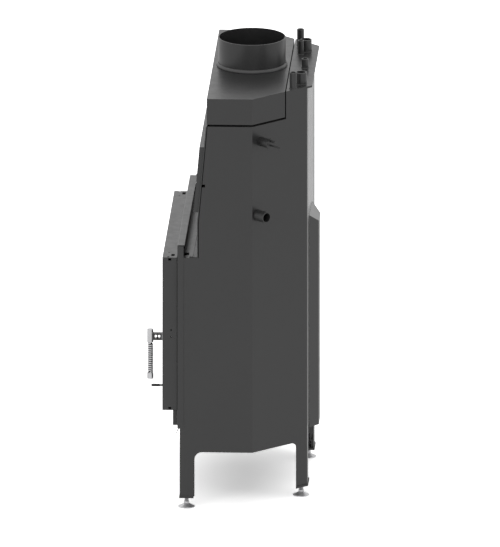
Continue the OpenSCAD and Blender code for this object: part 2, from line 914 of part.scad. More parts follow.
// Handle: shaft in a flanged bush, stirrup, grip with a wound spring, and the latch tongue
stirrup_wall = 5;
core_gap = 0.3;
cap_low = 18;
cap_high = 40;
y_grip = y_door - handle_gap - grip_d / 2;
y_stirrup = y_door - bush_flange_t - fit;
y_stirrup_front = y_grip + grip_d / 2 - stirrup_wall / 4;
z_grip = z_handle - grip_below;
z_grip_top = z_handle + grip_above;
z_spring = z_grip + cap_low;
z_spring_top = z_grip_top - cap_high;
bolt_d = 3.5;
bolt_head_d = 7;
bolt_head_h = 2.5;
y_bolt = (y_stirrup_front + y_stirrup) / 2;

// Half height of the loop of the stirrup
stirrup_in = stirrup_h / 2 - stirrup_wall;

module handle_bush() {
    color(bright) difference() {
        union() {
            rod_y(x_handle, z_handle, bush_flange_d, y_door - bush_flange_t, y_door);
            rod_y(x_handle, z_handle, bush_d, y_door - bush_flange_t, y_door + bush_len);
        }
        rod_y(x_handle, z_handle, shaft_d + 2 * run, y_door - bush_flange_t - cut, y_door + bush_len + cut);
    }
}

module handle_shaft() {
    color(bright) {
        rod_y(x_handle, z_handle, shaft_d, y_stirrup - stirrup_wall, y_tongue);
        rod_y(x_handle, z_handle, tongue_pin_d, y_tongue - cut, y_tongue + tongue_t);
    }
}

module handle_stirrup() {
    color(bright) difference() {
        block([x_handle - stirrup_w / 2, y_grip, z_handle - stirrup_h / 2],
            [x_handle + stirrup_w / 2, y_stirrup, z_handle + stirrup_h / 2]);
        block([x_handle - stirrup_w, y_stirrup_front + stirrup_wall, z_handle - stirrup_in],
            [x_handle + stirrup_w, y_stirrup - stirrup_wall, z_handle + stirrup_in]);
        translate([x_handle, y_grip, z_handle])
            cylinder(d = grip_d + 2 * run, h = 2 * stirrup_h, center = true);
        rod_y(x_handle, z_handle, shaft_d + 2 * run, y_stirrup - stirrup_wall - cut, y_stirrup + cut);
        translate([x_handle, y_bolt, z_handle])
            cylinder(d = bolt_d + 2 * run, h = 2 * stirrup_h, center = true);
    }
}

// Bolt that stands in the loop of the stirrup, with a nut at each end
module handle_bolt() {
    color(dark_steel) translate([x_handle, y_bolt, z_handle]) {
        cylinder(d = bolt_d, h = stirrup_h, center = true);
        for (side = [0, 1]) mirror([0, 0, side]) translate([0, 0, stirrup_in - bolt_head_h])
            cylinder(d = bolt_head_d, h = bolt_head_h, $fn = 6);
    }
}

module handle_grip() {
    core_d = 2 * (coil_r * cos(180 / rings_per_turn) - wire_d / 2 - core_gap);
    color(bright) translate([x_handle, y_grip, 0]) {
        translate([0, 0, z_grip]) cylinder(d = core_d, h = z_grip_top - z_grip);
        translate([0, 0, z_grip]) cylinder(d = grip_d, h = cap_low);
        translate([0, 0, z_spring_top]) cylinder(d = grip_d, h = cap_high);
    }
}

// Spring wire: straight for one diameter at each end, and a helix of whole rings between
ring_sides = 6;
rings_per_turn = 8;
coil_r = grip_d / 2 - wire_d / 2;
coil_h = z_spring_top - z_spring - 2 * wire_d;
coil_turns = floor(coil_h / wire_pitch);
coil_rings = coil_turns * rings_per_turn;
coil_rise = coil_h / coil_rings;

function coil_point(i) = [
    coil_r * cos(360 * i / rings_per_turn),
    coil_r * sin(360 * i / rings_per_turn),
    wire_d + coil_rise * i
];
coil_points = concat(
    [[coil_r, 0, 0]],
    [for (i = [0 : coil_rings]) coil_point(i)],
    [[coil_r, 0, coil_h + 2 * wire_d]]
);
function unit(v) = v / norm(v);
coil_last = len(coil_points) - 1;
function coil_dir(i) =
    i == 0 || i == coil_last ? [0, 0, 1] : unit(coil_points[i + 1] - coil_points[i - 1]);

// Outward direction from the axis of the coil, and the one square to it and to the wire
function coil_out(i) = unit([coil_points[i][0], coil_points[i][1], 0]);
function coil_side(i) = unit(cross(coil_dir(i), coil_out(i)));
function coil_up(i) = cross(coil_side(i), coil_dir(i));
function ring_point(i, a) =
    coil_points[i] + wire_d / 2 * (cos(a) * coil_up(i) + sin(a) * coil_side(i));
function ring_points(i) = [for (j = [0 : ring_sides - 1]) ring_point(i, 360 * j / ring_sides)];

// Least gap from a ring to the rings a turn or so away
function ring_gap(i) = min([
    for (k = [rings_per_turn - 2 : rings_per_turn + 2])
        if (i + k <= coil_last) for (p = ring_points(i)) for (q = ring_points(i + k)) norm(p - q)
]);
echo(least_gap_of_spring = min([for (i = [0 : coil_last - rings_per_turn]) ring_gap(i)]));

module handle_spring() {
    points = [for (i = [0 : coil_last]) each ring_points(i)];
    n = ring_sides;
    low_cap = [for (j = [1 : n - 2]) [0, j, j + 1]];
    high_cap = [for (j = [1 : n - 2]) [coil_last * n, coil_last * n + j + 1, coil_last * n + j]];
    walls = [for (i = [0 : coil_last - 1]) for (j = [0 : n - 1]) each [
        [i * n + j, (i + 1) * n + j, (i + 1) * n + (j + 1) % n],
        [i * n + j, (i + 1) * n + (j + 1) % n, i * n + (j + 1) % n]
    ]];
    color(bright) translate([x_handle, y_grip, z_spring])
        polyhedron(points = points, faces = concat(low_cap, walls, high_cap));
}

module latch_tongue() {
    color(dark_steel) difference() {
        inward(y_tongue, tongue_t) {
            translate([x_handle, z_handle]) circle(d = tongue_w);
            translate([x_handle - tongue_reach, z_handle - tongue_w / 2]) square([tongue_reach, tongue_w]);
        }
        rod_y(x_handle, z_handle, tongue_pin_d + 2 * run, y_tongue - cut, y_tongue + tongue_t + cut);
    }
}

// Firebox: a welded shell behind the front frame, open at the front and at the top
shell_drop = 48;
shell_rise = 40;
front_gap = 12;
y_chamber = y_lean(z_shelf) + front_gap;
z_shell = z_open - shell_drop;
z_throat = z_open_top + shell_rise;

// Side profile of the shell, set in by t; the top runs up by over
module shell_profile(t, over) {
    polygon([
        [y_panel - over, z_shell + t],
        [y_panel - over, z_throat - t],
        [y_chamber + t, z_throat - t],
        [y_lean(z_hood) + front_gap + t, z_hood + over],
        [y_hood_back - t, z_hood + over],
        [y_hood_back - t, z_shell + t]
    ]);
}

module shell_body(t, over) {
    intersection() {
        linear_extrude(height = z_top) polygon(plan(shell_gap + t, y_panel - 2 * over, y_hood_back - t));
        across(casing_w) shell_profile(t, over);
    }
}

module firebox_shell() {
    flange_w = half_w - shell_gap;
    color(dark_steel) {
        difference() {
            union() {
                shell_body(0, 0);
                inward(y_panel, shell_t) pane(2 * flange_w, z_shell, z_throat);
            }
            difference() {
                shell_body(shell_t, cut);
                inward(y_panel - cut, shell_t + cut) difference() {
                    pane(casing_w, z_shell, z_throat);
                    pane(2 * half_open, z_open, z_open_top);
                }
            }
            translate([0, y_grate, z_shell - cut]) linear_extrude(height = shell_t + 2 * cut)
                square([ash_w + 2 * fit, ash_d + 2 * fit], center = true);
        }
    }
}

// Floor slab, grate and ash box
ledge = 12;
grate_share = 0.42;
t_slab = shell_gap + shell_t + fit;
y_slab = y_panel + shell_t + fit;
y_slab_back = y_hood_back - shell_t - fit;
y_grate = y_slab + grate_share * (y_slab_back - y_slab);
z_slab = z_shell + shell_t;
z_floor = z_slab + slab_t;
rim_t = 2;
rim_w = 8;
ash_w = grate_w - 2 * ledge - 2 * rim_w;
ash_d = grate_d - 2 * ledge - 2 * rim_w;
ash_h = 52;
bar_n = 10;
bar_gap = 9;
bar_end = 16;

module firebox_floor() {
    color(stone) difference() {
        translate([0, 0, z_slab]) linear_extrude(height = slab_t) polygon(plan(t_slab, y_slab, y_slab_back));
        translate([0, y_grate, z_floor - grate_t]) linear_extrude(height = grate_t + cut)
            square([grate_w + 2 * fit, grate_d + 2 * fit], center = true);
        translate([0, y_grate, z_slab - cut]) linear_extrude(height = slab_t)
            square([grate_w - 2 * ledge + 2 * fit, grate_d - 2 * ledge + 2 * fit], center = true);
    }
}

module grate() {
    pitch = (grate_w - 2 * bar_end) / bar_n;
    color(cast) difference() {
        translate([0, y_grate, z_floor - grate_t]) linear_extrude(height = grate_t)
            square([grate_w, grate_d], center = true);
        for (i = [0 : bar_n - 1])
            translate([(i + 0.5 - bar_n / 2) * pitch, y_grate, z_floor - grate_t - cut])
                linear_extrude(height = grate_t + 2 * cut)
                    square([bar_gap, grate_d - 2 * bar_end], center = true);
    }
}

module ash_box() {
    color(dark_steel) translate([0, y_grate, 0]) difference() {
        union() {
            translate([0, 0, z_slab]) linear_extrude(height = rim_t)
                square([ash_w + 2 * rim_w, ash_d + 2 * rim_w], center = true);
            translate([0, 0, z_slab - ash_h]) linear_extrude(height = ash_h)
                square([ash_w, ash_d], center = true);
        }
        translate([0, 0, z_slab - ash_h + rim_t]) linear_extrude(height = ash_h + rim_t)
            square([ash_w - 2 * rim_t, ash_d - 2 * rim_t], center = true);
    }
}

// Log guard: a low fence that stands on the floor slab behind the door
guard_t = 8;
guard_h = 44;
guard_w = 480;
guard_foot = 24;
guard_bar = 10;
guard_inset = 14;

module log_guard() {
    y = y_slab + guard_inset;
    color(cast) {
        inward(y, guard_t) difference() {
            pane(guard_w, z_floor, z_floor + guard_h);
            pane(guard_w - 2 * guard_bar, z_floor - cut, z_floor + guard_h / 2 - guard_bar / 2);
            pane(guard_w - 2 * guard_bar, z_floor + guard_h / 2 + guard_bar / 2,
                z_floor + guard_h - guard_bar);
        }
        both_sides() block([guard_w / 2 - guard_bar, y, z_floor],
            [guard_w / 2, y + guard_foot, z_floor + guard_t]);
    }
}

// Lining: slabs with mitred ends that stand on the floor slab, and a baffle that lies on them
t_lining = t_slab + lining_t;
lining_outer = plan(t_slab, y_slab, y_slab_back);
lining_inner = plan(t_lining, y_slab, y_slab_back - lining_t);
z_lining_top = z_throat - shell_t - baffle_t - fit;
baffle_share = 0.4;

// The slab between corner i and corner j of the two outlines
module lining_slab(i, j) {
    color(stone) translate([0, 0, z_floor]) linear_extrude(height = z_lining_top - z_floor)
        polygon([lining_outer[i], lining_outer[j], lining_inner[j], lining_inner[i]]);
}

module lining_right() lining_slab(1, 2);

module lining_corner_right() lining_slab(2, 3);

module lining_back() lining_slab(3, 4);

module lining_corner_left() lining_slab(4, 5);

module lining_left() lining_slab(5, 0);

module baffle() {
    y = y_slab + baffle_share * (y_slab_back - y_slab);
    color(stone) translate([0, 0, z_lining_top]) linear_extrude(height = baffle_t)
        polygon(plan(t_slab, y, y_slab_back));
}

// Upper front: a shelf behind the surround frame, an upright foot on it, and the leaning wall above
foot_strip = 12;
foot_strip_t = 2;
shelf_bar = 11;
shelf_bar_t = 4;
shelf_slot_w = 28;
shelf_slot_d = 16;
shelf_slot_inset = 33;

module upper_front_wall() {
    t = sheet;
    inside = half_w - sheet - fit;
    y_foot = y_lean(z_shelf);
    y_slot = y_foot - foot_strip - shelf_bar - t - shelf_slot_d;
    color(steel) difference() {
        union() {
            across(2 * inside) polygon([
                [y_panel + t + fit, z_shelf],
                [y_foot - foot_strip - shelf_bar, z_shelf],
                [y_foot - foot_strip - shelf_bar, z_shelf + shelf_bar_t],
                [y_foot - foot_strip, z_shelf + shelf_bar_t],
                [y_foot - foot_strip, z_shelf + foot_strip_t],
                [y_foot, z_shelf + foot_strip_t],
                [y_foot, z_shelf + t],
                [y_foot + t, z_shelf + t],
                [y_foot + t, z_shelf - t],
                [y_panel + t + fit, z_shelf - t]
            ]);
            across(2 * half_w) polygon([
                [y_foot, z_shelf + fit],
                [y_foot, z_bend],
                [y_lean(z_panel_cut), z_panel_cut],
                [y_lean(z_panel_cut) + t, z_panel_cut],
                [y_foot + t, z_bend],
                [y_foot + t, z_shelf + fit]
            ]);
        }
        both_sides() block([half_w - shelf_slot_inset - shelf_slot_w, y_slot, z_shelf - t - cut],
            [half_w - shelf_slot_inset, y_slot + shelf_slot_d, z_shelf + cut]);
    }
}

// Cover box on the leaning wall
cover_inset = 9;
cover_out = 14;
cover_t = 2;
cover_drop = 66;
cover_h = 201;
z_cover_top = z_panel_cut - cover_drop;
z_cover = z_cover_top - cover_h;
cover_screw_shares = [-0.85, -0.3, 0.3, 0.85];

module cover_profile(out, t) {
    polygon([
        [y_lean(z_cover + t) - out, z_cover + t],
        [y_lean(z_cover_top - t) - out, z_cover_top - t],
        [y_lean(z_cover_top - t) + (t == 0 ? 0 : cut), z_cover_top - t],
        [y_lean(z_cover + t) + (t == 0 ? 0 : cut), z_cover + t]
    ]);
}

module front_cover() {
    w = 2 * (half_w - cover_inset);
    color(steel) difference() {
        across(w) cover_profile(cover_out, 0);
        across(w - 2 * cover_t) cover_profile(cover_out - cover_t, cover_t);
    }
}

module cover_screws() {
    z = (z_cover + z_cover_top) / 2;
    color(dark_steel) for (share = cover_screw_shares)
        translate([share * half_w, y_lean(z) - cover_out, z]) rotate([90 - front_lean, 0, 0])
            cylinder(d = screw_head_d, h = screw_head_t);
}

// Water vessel: a hollow jacket round the back of the firebox, with a riser behind the hood
arm_reach = 30;
y_arm = y_fold - arm_reach;

// Depth from the outside of the casing to the inside of the vessel wall
corner_seat = sheet + fit + vessel_t;

module vessel_profile(t, over) {
    y_out = y_back - sheet - fit - t;
    polygon([
        [y_arm + t, z_base + sheet + t],
        [y_arm + t, z_panel_cut - t],
        [y_riser + t, z_panel_cut - t],
        [y_riser + t, z_riser_top + over],
        [y_out, z_riser_top + over],
        [y_out, z_base + sheet + t]
    ]);
}

module vessel_body(t, over) {
    y_out = y_back - sheet - fit - t;
    difference() {
        intersection() {
            linear_extrude(height = 2 * z_top) polygon(plan(sheet + fit + t, y_arm + t, y_out));
            across(2 * casing_w) vessel_profile(t, over);
        }
        translate([0, 0, z_base]) linear_extrude(height = z_panel_cut - z_base)
            polygon(plan(shell_gap - t, y_arm - cut, y_hood_back + t));
    }
}

module water_vessel() {
    color(dark_steel) difference() {
        vessel_body(0, 0);
        vessel_body(vessel_t, cut);
        both_sides() on_corner(return_back, z_panel + return_rise)
            translate([0, 0, -corner_seat - cut])
                cylinder(d = main_pipe_d + 2 * run, h = vessel_t + 2 * cut);
        on_corner(pocket_back, z_panel + pocket_rise)
            translate([0, 0, -corner_seat - cut]) cylinder(d = pocket_d + 2 * run, h = vessel_t + 2 * cut);
    }
}

// Places of the stubs on the boiler top: [side, distance in front of the back wall]
flow_at = [[207, 19.5], [-163, 22]];
cooling_at = [[262, 40.5], [-226, 41.5]];
socket_at = [28, 16];
well_at = [-128, 36];
socket_d = 20;
socket_bore = 15;
socket_len = 28;
well_d = 18;
well_bore = 13;
well_len = 42;

module top_stub(at, d, bore, len) {
    translate([at[0], y_back - at[1], z_riser_top]) tube(d, bore, top_plate_t + len);
}

module top_hole(at, d) {
    translate([at[0], y_back - at[1], z_riser_top - cut])
        cylinder(d = d + 2 * run, h = top_plate_t + 2 * cut);
}

module boiler_top() {
    y_end = y_back + top_overhang;
    color(steel) difference() {
        translate([0, 0, z_riser_top]) linear_extrude(height = top_plate_t) polygon([
            [-half_at(y_riser, 0), y_riser],
            [half_at(y_riser, 0), y_riser],
            [half_at(y_end, 0), y_end],
            [-half_at(y_end, 0), y_end]
        ]);
        for (at = flow_at) top_hole(at, main_pipe_d);
        for (at = cooling_at) top_hole(at, small_pipe_d);
        top_hole(socket_at, socket_d);
        top_hole(well_at, well_d);
    }
}

module flow_pipes() {
    color(dark_steel) for (at = flow_at) top_stub(at, main_pipe_d, main_pipe_bore, flow_len);
}

module cooling_pipes() {
    color(dark_steel) for (at = cooling_at) top_stub(at, small_pipe_d, small_pipe_bore, cooling_len);
}

module sensor_sockets() {
    color(dark_steel) {
        top_stub(socket_at, socket_d, socket_bore, socket_len);
        top_stub(well_at, well_d, well_bore, well_len);
    }
}

module return_pipes() {
    color(dark_steel) both_sides() on_corner(return_back, z_panel + return_rise)
        translate([0, 0, -corner_seat]) tube(main_pipe_d, main_pipe_bore, return_len + corner_seat);
}

// Safety pocket on the right corner: a closed sleeve with an end plate and two probes
pocket_plate_d = 35;
pocket_plate_t = 3;
pocket_wall = 4;
probe_d = 7;
probe_long_d = 5;
probe_len = 18;
probe_long_len = 40;
probe_up = 9.5;
probe_down = 4;

module safety_pocket() {
    color(dark_steel) on_corner(pocket_back, z_panel + pocket_rise) difference() {
        union() {
            translate([0, 0, -corner_seat]) cylinder(d = pocket_d, h = pocket_len + corner_seat);
            translate([0, 0, pocket_len]) cylinder(d = pocket_plate_d, h = pocket_plate_t);
        }
        translate([0, 0, -corner_seat - cut])
            cylinder(d = pocket_d - 2 * pocket_wall, h = pocket_len + corner_seat);
    }
}

module safety_probe() {
    color(dark_steel) on_corner(pocket_back, z_panel + pocket_rise)
        translate([0, 0, pocket_len + pocket_plate_t]) {
            translate([-probe_up, 0, 0]) cylinder(d = probe_d, h = probe_len);
            translate([probe_down, 0, 0]) cylinder(d = probe_long_d, h = probe_long_len);
        }
}

// Hood over the smoke outlet of the firebox, with the flue collar on it
hood_t = 3;
hood_inset = 1;

module hood() {
    t = hood_inset;
    color(steel) difference() {
        translate([0, 0, z_hood]) linear_extrude(height = hood_h) polygon(plan(t, y_hood, y_hood_back));
        translate([0, 0, z_hood + hood_t]) linear_extrude(height = hood_h - 2 * hood_t)
            polygon(plan(t + hood_t, y_hood + hood_t, y_hood_back - hood_t));
        translate([0, 0, z_hood - cut]) linear_extrude(height = hood_t + 2 * cut)
            polygon(plan(shell_gap + shell_t, y_hood + front_gap + shell_t, y_hood_back - shell_t));
        translate([0, y_flue, z_top - hood_t - cut]) cylinder(d = flue_d - 2 * flue_t, h = hood_t + 2 * cut);
    }
}

// Collar with a thicker ring at its foot
foot_ring_w = 4;
foot_ring_h = 7;

module flue_collar() {
    color(steel) translate([0, y_flue, z_top]) difference() {
        union() {
            cylinder(d = flue_d, h = flue_h);
            cylinder(d = flue_d + 2 * foot_ring_w, h = foot_ring_h);
        }
        translate([0, 0, -cut]) cylinder(d = flue_d - 2 * flue_t, h = flue_h + 2 * cut);
    }
}

// Rear air duct, open at the bottom, with a sloping top
module duct_shape(t, over) {
    intersection() {
        translate([0, 0, z_duct - over]) linear_extrude(height = duct_h + over) polygon([
            [-duct_base_w / 2 + t, y_back - over],
            [duct_base_w / 2 - t, y_back - over],
            [duct_base_w / 2 - t, y_back],
            [duct_face_w / 2 - t * fold_share, y_back + duct_d - t],
            [-duct_face_w / 2 + t * fold_share, y_back + duct_d - t],
            [-duct_base_w / 2 + t, y_back]
        ]);
        across(duct_base_w) polygon([
            [y_back - over, z_duct - over],
            [y_back - over, z_duct + duct_h - t],
            [y_back, z_duct + duct_h - t],
            [y_back + duct_d - t, z_duct + duct_h - duct_d],
            [y_back + duct_d - t, z_duct - over]
        ]);
    }
}

module rear_duct() {
    color(steel) difference() {
        duct_shape(0, 0);
        duct_shape(duct_t, cut);
    }
}

side_panel_right();
side_panel_left();
back_panel();
base_plate();
foot_plates();
foot_nuts();
foot_front_right();
foot_front_left();
foot_rear_right();
foot_rear_left();
surround_frame();
surround_seal();
surround_screws();
surround_clips();
front_frame();
latch_keeper();
door_frame();
glass_seal();
door_glass();
glass_clips();
rope_channel();
rope_seal();
hinge_brackets();
hinge_pins();
handle_bush();
handle_shaft();
handle_stirrup();
handle_grip();
handle_spring();
handle_bolt();
latch_tongue();
air_valve();
air_slider();
air_knob();
air_spigot();
firebox_shell();
firebox_floor();
ash_box();
grate();
log_guard();
lining_right();
lining_left();
lining_corner_right();
lining_corner_left();
lining_back();
baffle();
upper_front_wall();
front_cover();
cover_screws();
water_vessel();
boiler_top();
hood();
flue_collar();
flow_pipes();
return_pipes();
cooling_pipes();
sensor_sockets();
safety_pocket();
safety_probe();
rear_duct();
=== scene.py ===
"""Looks of a steel fireplace insert with a water jacket. Metres, in the frame of the CAD model."""
import json
import math

import bmesh
import bpy
from mathutils import Matrix, Vector


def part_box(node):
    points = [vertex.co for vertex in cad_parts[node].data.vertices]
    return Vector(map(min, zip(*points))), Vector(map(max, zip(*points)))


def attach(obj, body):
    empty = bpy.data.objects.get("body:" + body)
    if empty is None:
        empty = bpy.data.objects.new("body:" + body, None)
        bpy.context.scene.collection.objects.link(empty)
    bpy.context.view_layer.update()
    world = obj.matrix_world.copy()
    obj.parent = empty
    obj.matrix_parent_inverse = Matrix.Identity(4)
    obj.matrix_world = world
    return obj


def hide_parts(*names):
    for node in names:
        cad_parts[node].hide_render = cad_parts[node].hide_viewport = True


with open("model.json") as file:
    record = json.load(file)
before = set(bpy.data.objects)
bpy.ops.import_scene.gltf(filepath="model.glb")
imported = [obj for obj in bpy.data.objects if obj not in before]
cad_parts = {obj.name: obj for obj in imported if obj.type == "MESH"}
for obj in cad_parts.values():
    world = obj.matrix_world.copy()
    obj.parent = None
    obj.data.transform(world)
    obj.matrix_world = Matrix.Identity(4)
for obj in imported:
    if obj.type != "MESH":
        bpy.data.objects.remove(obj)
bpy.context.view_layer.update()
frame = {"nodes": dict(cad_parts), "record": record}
nodes = frame["nodes"]
scene = bpy.context.scene


# Places read from the frame

MM = 0.001
collar_low, collar_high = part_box("flue_collar")
collar_mid = (collar_low + collar_high) / 2
door_low, door_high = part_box("door_frame")
glass_low, glass_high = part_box("door_glass")
spring_low, spring_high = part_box("handle_spring")
spring_mid = (spring_low + spring_high) / 2
spring_r = (spring_high.x - spring_low.x) / 2
surround_low, surround_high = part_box("surround_frame")
boiler_top_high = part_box("boiler_top")[1]


# Camera: the photograph is a parallel view of the right side, from a little behind and above

PHOTO_H = 547
PX_PER_M = 336
AZIMUTH = math.radians(92.7)
ELEVATION = math.radians(15.3)
AIM_BEFORE_COLLAR = 6 * MM
AIM_HEIGHT = 621.6 * MM
CAMERA_FAR = 6
CAMERA_REACH = 60

aim = Vector((0, collar_mid.y - AIM_BEFORE_COLLAR, AIM_HEIGHT))
look = Vector((
    -math.sin(AZIMUTH) * math.cos(ELEVATION),
    math.cos(AZIMUTH) * math.cos(ELEVATION),
    -math.sin(ELEVATION),
))
camera_data = bpy.data.cameras.new("camera")
camera_data.type = "ORTHO"
camera_data.ortho_scale = PHOTO_H / PX_PER_M
camera_data.clip_end = CAMERA_REACH
camera = bpy.data.objects.new("camera", camera_data)
camera.location = aim - look * CAMERA_FAR
camera.rotation_euler = look.to_track_quat("-Z", "Y").to_euler()
scene.collection.objects.link(camera)
scene.camera = camera
scene.view_settings.view_transform = "Standard"


# Materials

# Range that most of a noise's values lie in
NOISE_LOW = 0.3
NOISE_HIGH = 0.7


class Nodes:
    """A material's node tree with short calls for the nodes used here."""

    def __init__(self, name):
        self.material = bpy.data.materials.new(name)
        self.material.use_nodes = True
        self.tree = self.material.node_tree
        self.shader = self.tree.nodes["Principled BSDF"]
        self.coords = self.tree.nodes.new("ShaderNodeTexCoord").outputs["Object"]

    def link(self, output, target):
        self.tree.links.new(output, target)

    def noise(self, scale, detail=2, stretch=(1, 1, 1)):
        mapping = self.tree.nodes.new("ShaderNodeMapping")
        mapping.inputs["Scale"].default_value = stretch
        self.link(self.coords, mapping.inputs["Vector"])
        node = self.tree.nodes.new("ShaderNodeTexNoise")
        node.inputs["Scale"].default_value = scale
        node.inputs["Detail"].default_value = detail
        self.link(mapping.outputs["Vector"], node.inputs["Vector"])
        return node.outputs["Fac"]

    def cells(self, scale):
        node = self.tree.nodes.new("ShaderNodeTexVoronoi")
        node.inputs["Scale"].default_value = scale
        self.link(self.coords, node.inputs["Vector"])
        return node.outputs["Distance"]

    def bands(self, scale, axis, distortion=0):
        node = self.tree.nodes.new("ShaderNodeTexWave")
        node.bands_direction = axis
        node.inputs["Scale"].default_value = scale
        node.inputs["Distortion"].default_value = distortion
        self.link(self.coords, node.inputs["Vector"])
        return node.outputs["Fac"]

    def ramp(self, factor, low, high, start=NOISE_LOW, end=NOISE_HIGH):
        """Colour that goes from low to high as the factor goes from start to end."""
        node = self.tree.nodes.new("ShaderNodeValToRGB")
        node.color_ramp.elements[0].position = start
        node.color_ramp.elements[1].position = end
        node.color_ramp.elements[0].color = (*low, 1)
        node.color_ramp.elements[1].color = (*high, 1)
        self.link(factor, node.inputs["Fac"])
        return node.outputs["Color"]

    def spread(self, factor, low, high):
        """Number that goes from low to high over the usual range of a noise."""
        node = self.tree.nodes.new("ShaderNodeMapRange")
        node.inputs["From Min"].default_value = NOISE_LOW
        node.inputs["From Max"].default_value = NOISE_HIGH
        node.inputs["To Min"].default_value = low
        node.inputs["To Max"].default_value = high
        self.link(factor, node.inputs["Value"])
        return node.outputs["Result"]

    def product(self, first, second):
        node = self.tree.nodes.new("ShaderNodeMath")
        node.operation = "MULTIPLY"
        self.link(first, node.inputs[0])
        self.link(second, node.inputs[1])
        return node.outputs["Value"]

    def colour(self, output):
        self.link(output, self.shader.inputs["Base Color"])

    def roughness(self, output):
        self.link(output, self.shader.inputs["Roughness"])

    def bump(self, height, distance):
        node = self.tree.nodes.new("ShaderNodeBump")
        node.inputs["Distance"].default_value = distance
        self.link(height, node.inputs["Height"])
        self.link(node.outputs["Normal"], self.shader.inputs["Normal"])

    def set(self, **values):
        """Sets constants on the shader's own sockets; an underscore stands for a space."""
        for name, value in values.items():
            self.shader.inputs[name.replace("_", " ")].default_value = value


def grey(value):
    return (value, value, value)


def shade(rgb, factor):
    return tuple(channel * factor for channel in rgb)


def powder_coat(name, rgb, rough, grain=900):
    """Heat-resistant satin paint: a fine grain and a slow drift of tone and gloss."""
    tone_drift = 0.05
    gloss_drift = 0.03
    n = Nodes(name)
    drift = n.noise(scale=5, detail=3)
    n.colour(n.ramp(drift, shade(rgb, 1 - tone_drift), shade(rgb, 1 + tone_drift)))
    n.roughness(n.spread(n.noise(scale=40), rough - gloss_drift, rough + gloss_drift))
    n.bump(n.noise(grain, detail=1), distance=0.01 * MM)
    n.set(IOR=1.6)
    return n.material


def satin_steel(name, rgb, rough):
    """Stainless steel with fine brush lines along Z."""
    dark_line = shade(rgb, 0.85)
    light_line = shade(rgb, 1.1)
    smooth_line = rough - 0.05
    rough_line = rough + 0.08
    n = Nodes(name)
    lines = n.noise(scale=260, stretch=(1, 1, 0.05))
    n.colour(n.ramp(lines, dark_line, light_line))
    n.roughness(n.spread(lines, smooth_line, rough_line))
    n.bump(lines, distance=0.02 * MM)
    n.set(Metallic=1)
    return n.material


def zinc_plate(name):
    """Bright zinc with small cloudy crystals."""
    n = Nodes(name)
    clouds = n.noise(scale=90, detail=3)
    n.colour(n.ramp(clouds, low=(0.58, 0.58, 0.59), high=(0.78, 0.78, 0.79)))
    n.roughness(n.spread(clouds, low=0.36, high=0.48))
    n.set(Metallic=0.75)
    return n.material


def vermiculite(name):
    """Pressed board: warm grey-beige with flakes and small pits."""
    n = Nodes(name)
    flakes = n.cells(scale=320)
    n.colour(n.ramp(flakes, low=(0.36, 0.29, 0.2), high=(0.6, 0.52, 0.4), start=0.1, end=0.6))
    n.bump(n.product(flakes, n.noise(scale=120, detail=3)), distance=0.6 * MM)
    n.set(Roughness=0.9)
    return n.material


def cast_iron(name):
    """Sand-cast skin, dark and rough."""
    n = Nodes(name)
    grain = n.noise(scale=480, detail=4)
    n.colour(n.ramp(grain, low=(0.02, 0.02, 0.022), high=(0.05, 0.05, 0.052)))
    n.bump(grain, distance=0.3 * MM)
    n.set(Roughness=0.62, Metallic=0.4)
    return n.material


def glass_fibre(name):
    """Braided fibre: two sets of slanted strands."""
    n = Nodes(name)
    braid = n.product(n.bands(210, "DIAGONAL"), n.bands(180, "Z", distortion=2))
    n.colour(n.ramp(braid, low=(0.2, 0.195, 0.18), high=(0.5, 0.48, 0.44), start=0.1, end=0.6))
    n.bump(braid, distance=0.6 * MM)
    n.set(Roughness=0.95)
    return n.material


def ceramic_glass(name):
    """Clear pane with a faint warm tint."""
    n = Nodes(name)
    n.set(Transmission_Weight=1, Roughness=0.02, IOR=1.5, Base_Color=(0.82, 0.8, 0.76, 1))
    return n.material


def enamel(name):
    """Black print fired onto the pane."""
    n = Nodes(name)
    n.colour(n.ramp(n.noise(scale=30), grey(0.006), grey(0.012)))
    n.set(Roughness=0.25)
    return n.material


def painted_shade_black(name):
    """Dull black with a very fine grain: painted shade where the dark inside of a slot is seen."""
    n = Nodes(name)
    n.colour(n.ramp(n.noise(scale=700), grey(0.004), grey(0.009)))
    n.set(Roughness=0.9, Specular_IOR_Level=0.1)
    return n.material


def weld_steel(name):
    """Weld bead under paint: small ripples."""
    n = Nodes(name)
    ripples = n.noise(scale=300)
    n.colour(n.ramp(ripples, grey(0.02), grey(0.04)))
    n.bump(ripples, distance=0.5 * MM)
    n.set(Roughness=0.6)
    return n.material


PAINT = (0.018, 0.018, 0.0182)
paint = powder_coat("casing_paint", PAINT, rough=0.34)
back_paint = powder_coat("back_paint", PAINT, rough=0.2)
door_paint = powder_coat("door_paint", PAINT, rough=0.34)
frame_paint = powder_coat("frame_paint", shade(PAINT, 0.5), rough=0.36)
pipe_paint = powder_coat("pipe_paint", shade(PAINT, 1.1), rough=0.34, grain=500)
plate_primer = powder_coat("plate_primer", shade(PAINT, 1.6), rough=0.6, grain=400)
# Lighter copy of the casing paint: a painted highlight along the rounded bead at the collar's foot
bead_painted_highlight = powder_coat("bead_painted_highlight", shade(PAINT, 2.2), rough=0.4)
black_screw = powder_coat("black_screw", grey(0.012), rough=0.35, grain=600)
grip_steel = satin_steel("satin_steel", (0.64, 0.64, 0.65), rough=0.4)
# Dark core under the spring: partly its own colour, partly painted shade for the gaps between the turns
core_painted_shade = satin_steel("core_painted_shade", grey(0.03), rough=0.35)
wire_steel = satin_steel("wire_steel", (0.86, 0.86, 0.87), rough=0.3)
zinc = zinc_plate("zinc_plate")
board = vermiculite("vermiculite")
iron = cast_iron("cast_iron")
fibre = glass_fibre("glass_fibre")
glass = ceramic_glass("ceramic_glass")
print_black = enamel("glass_print")
weld = weld_steel("weld")
# Matte black for the slot caps: painted shade for the dark inside seen through the door's spare slots
slot_painted_shade = painted_shade_black("slot_painted_shade")

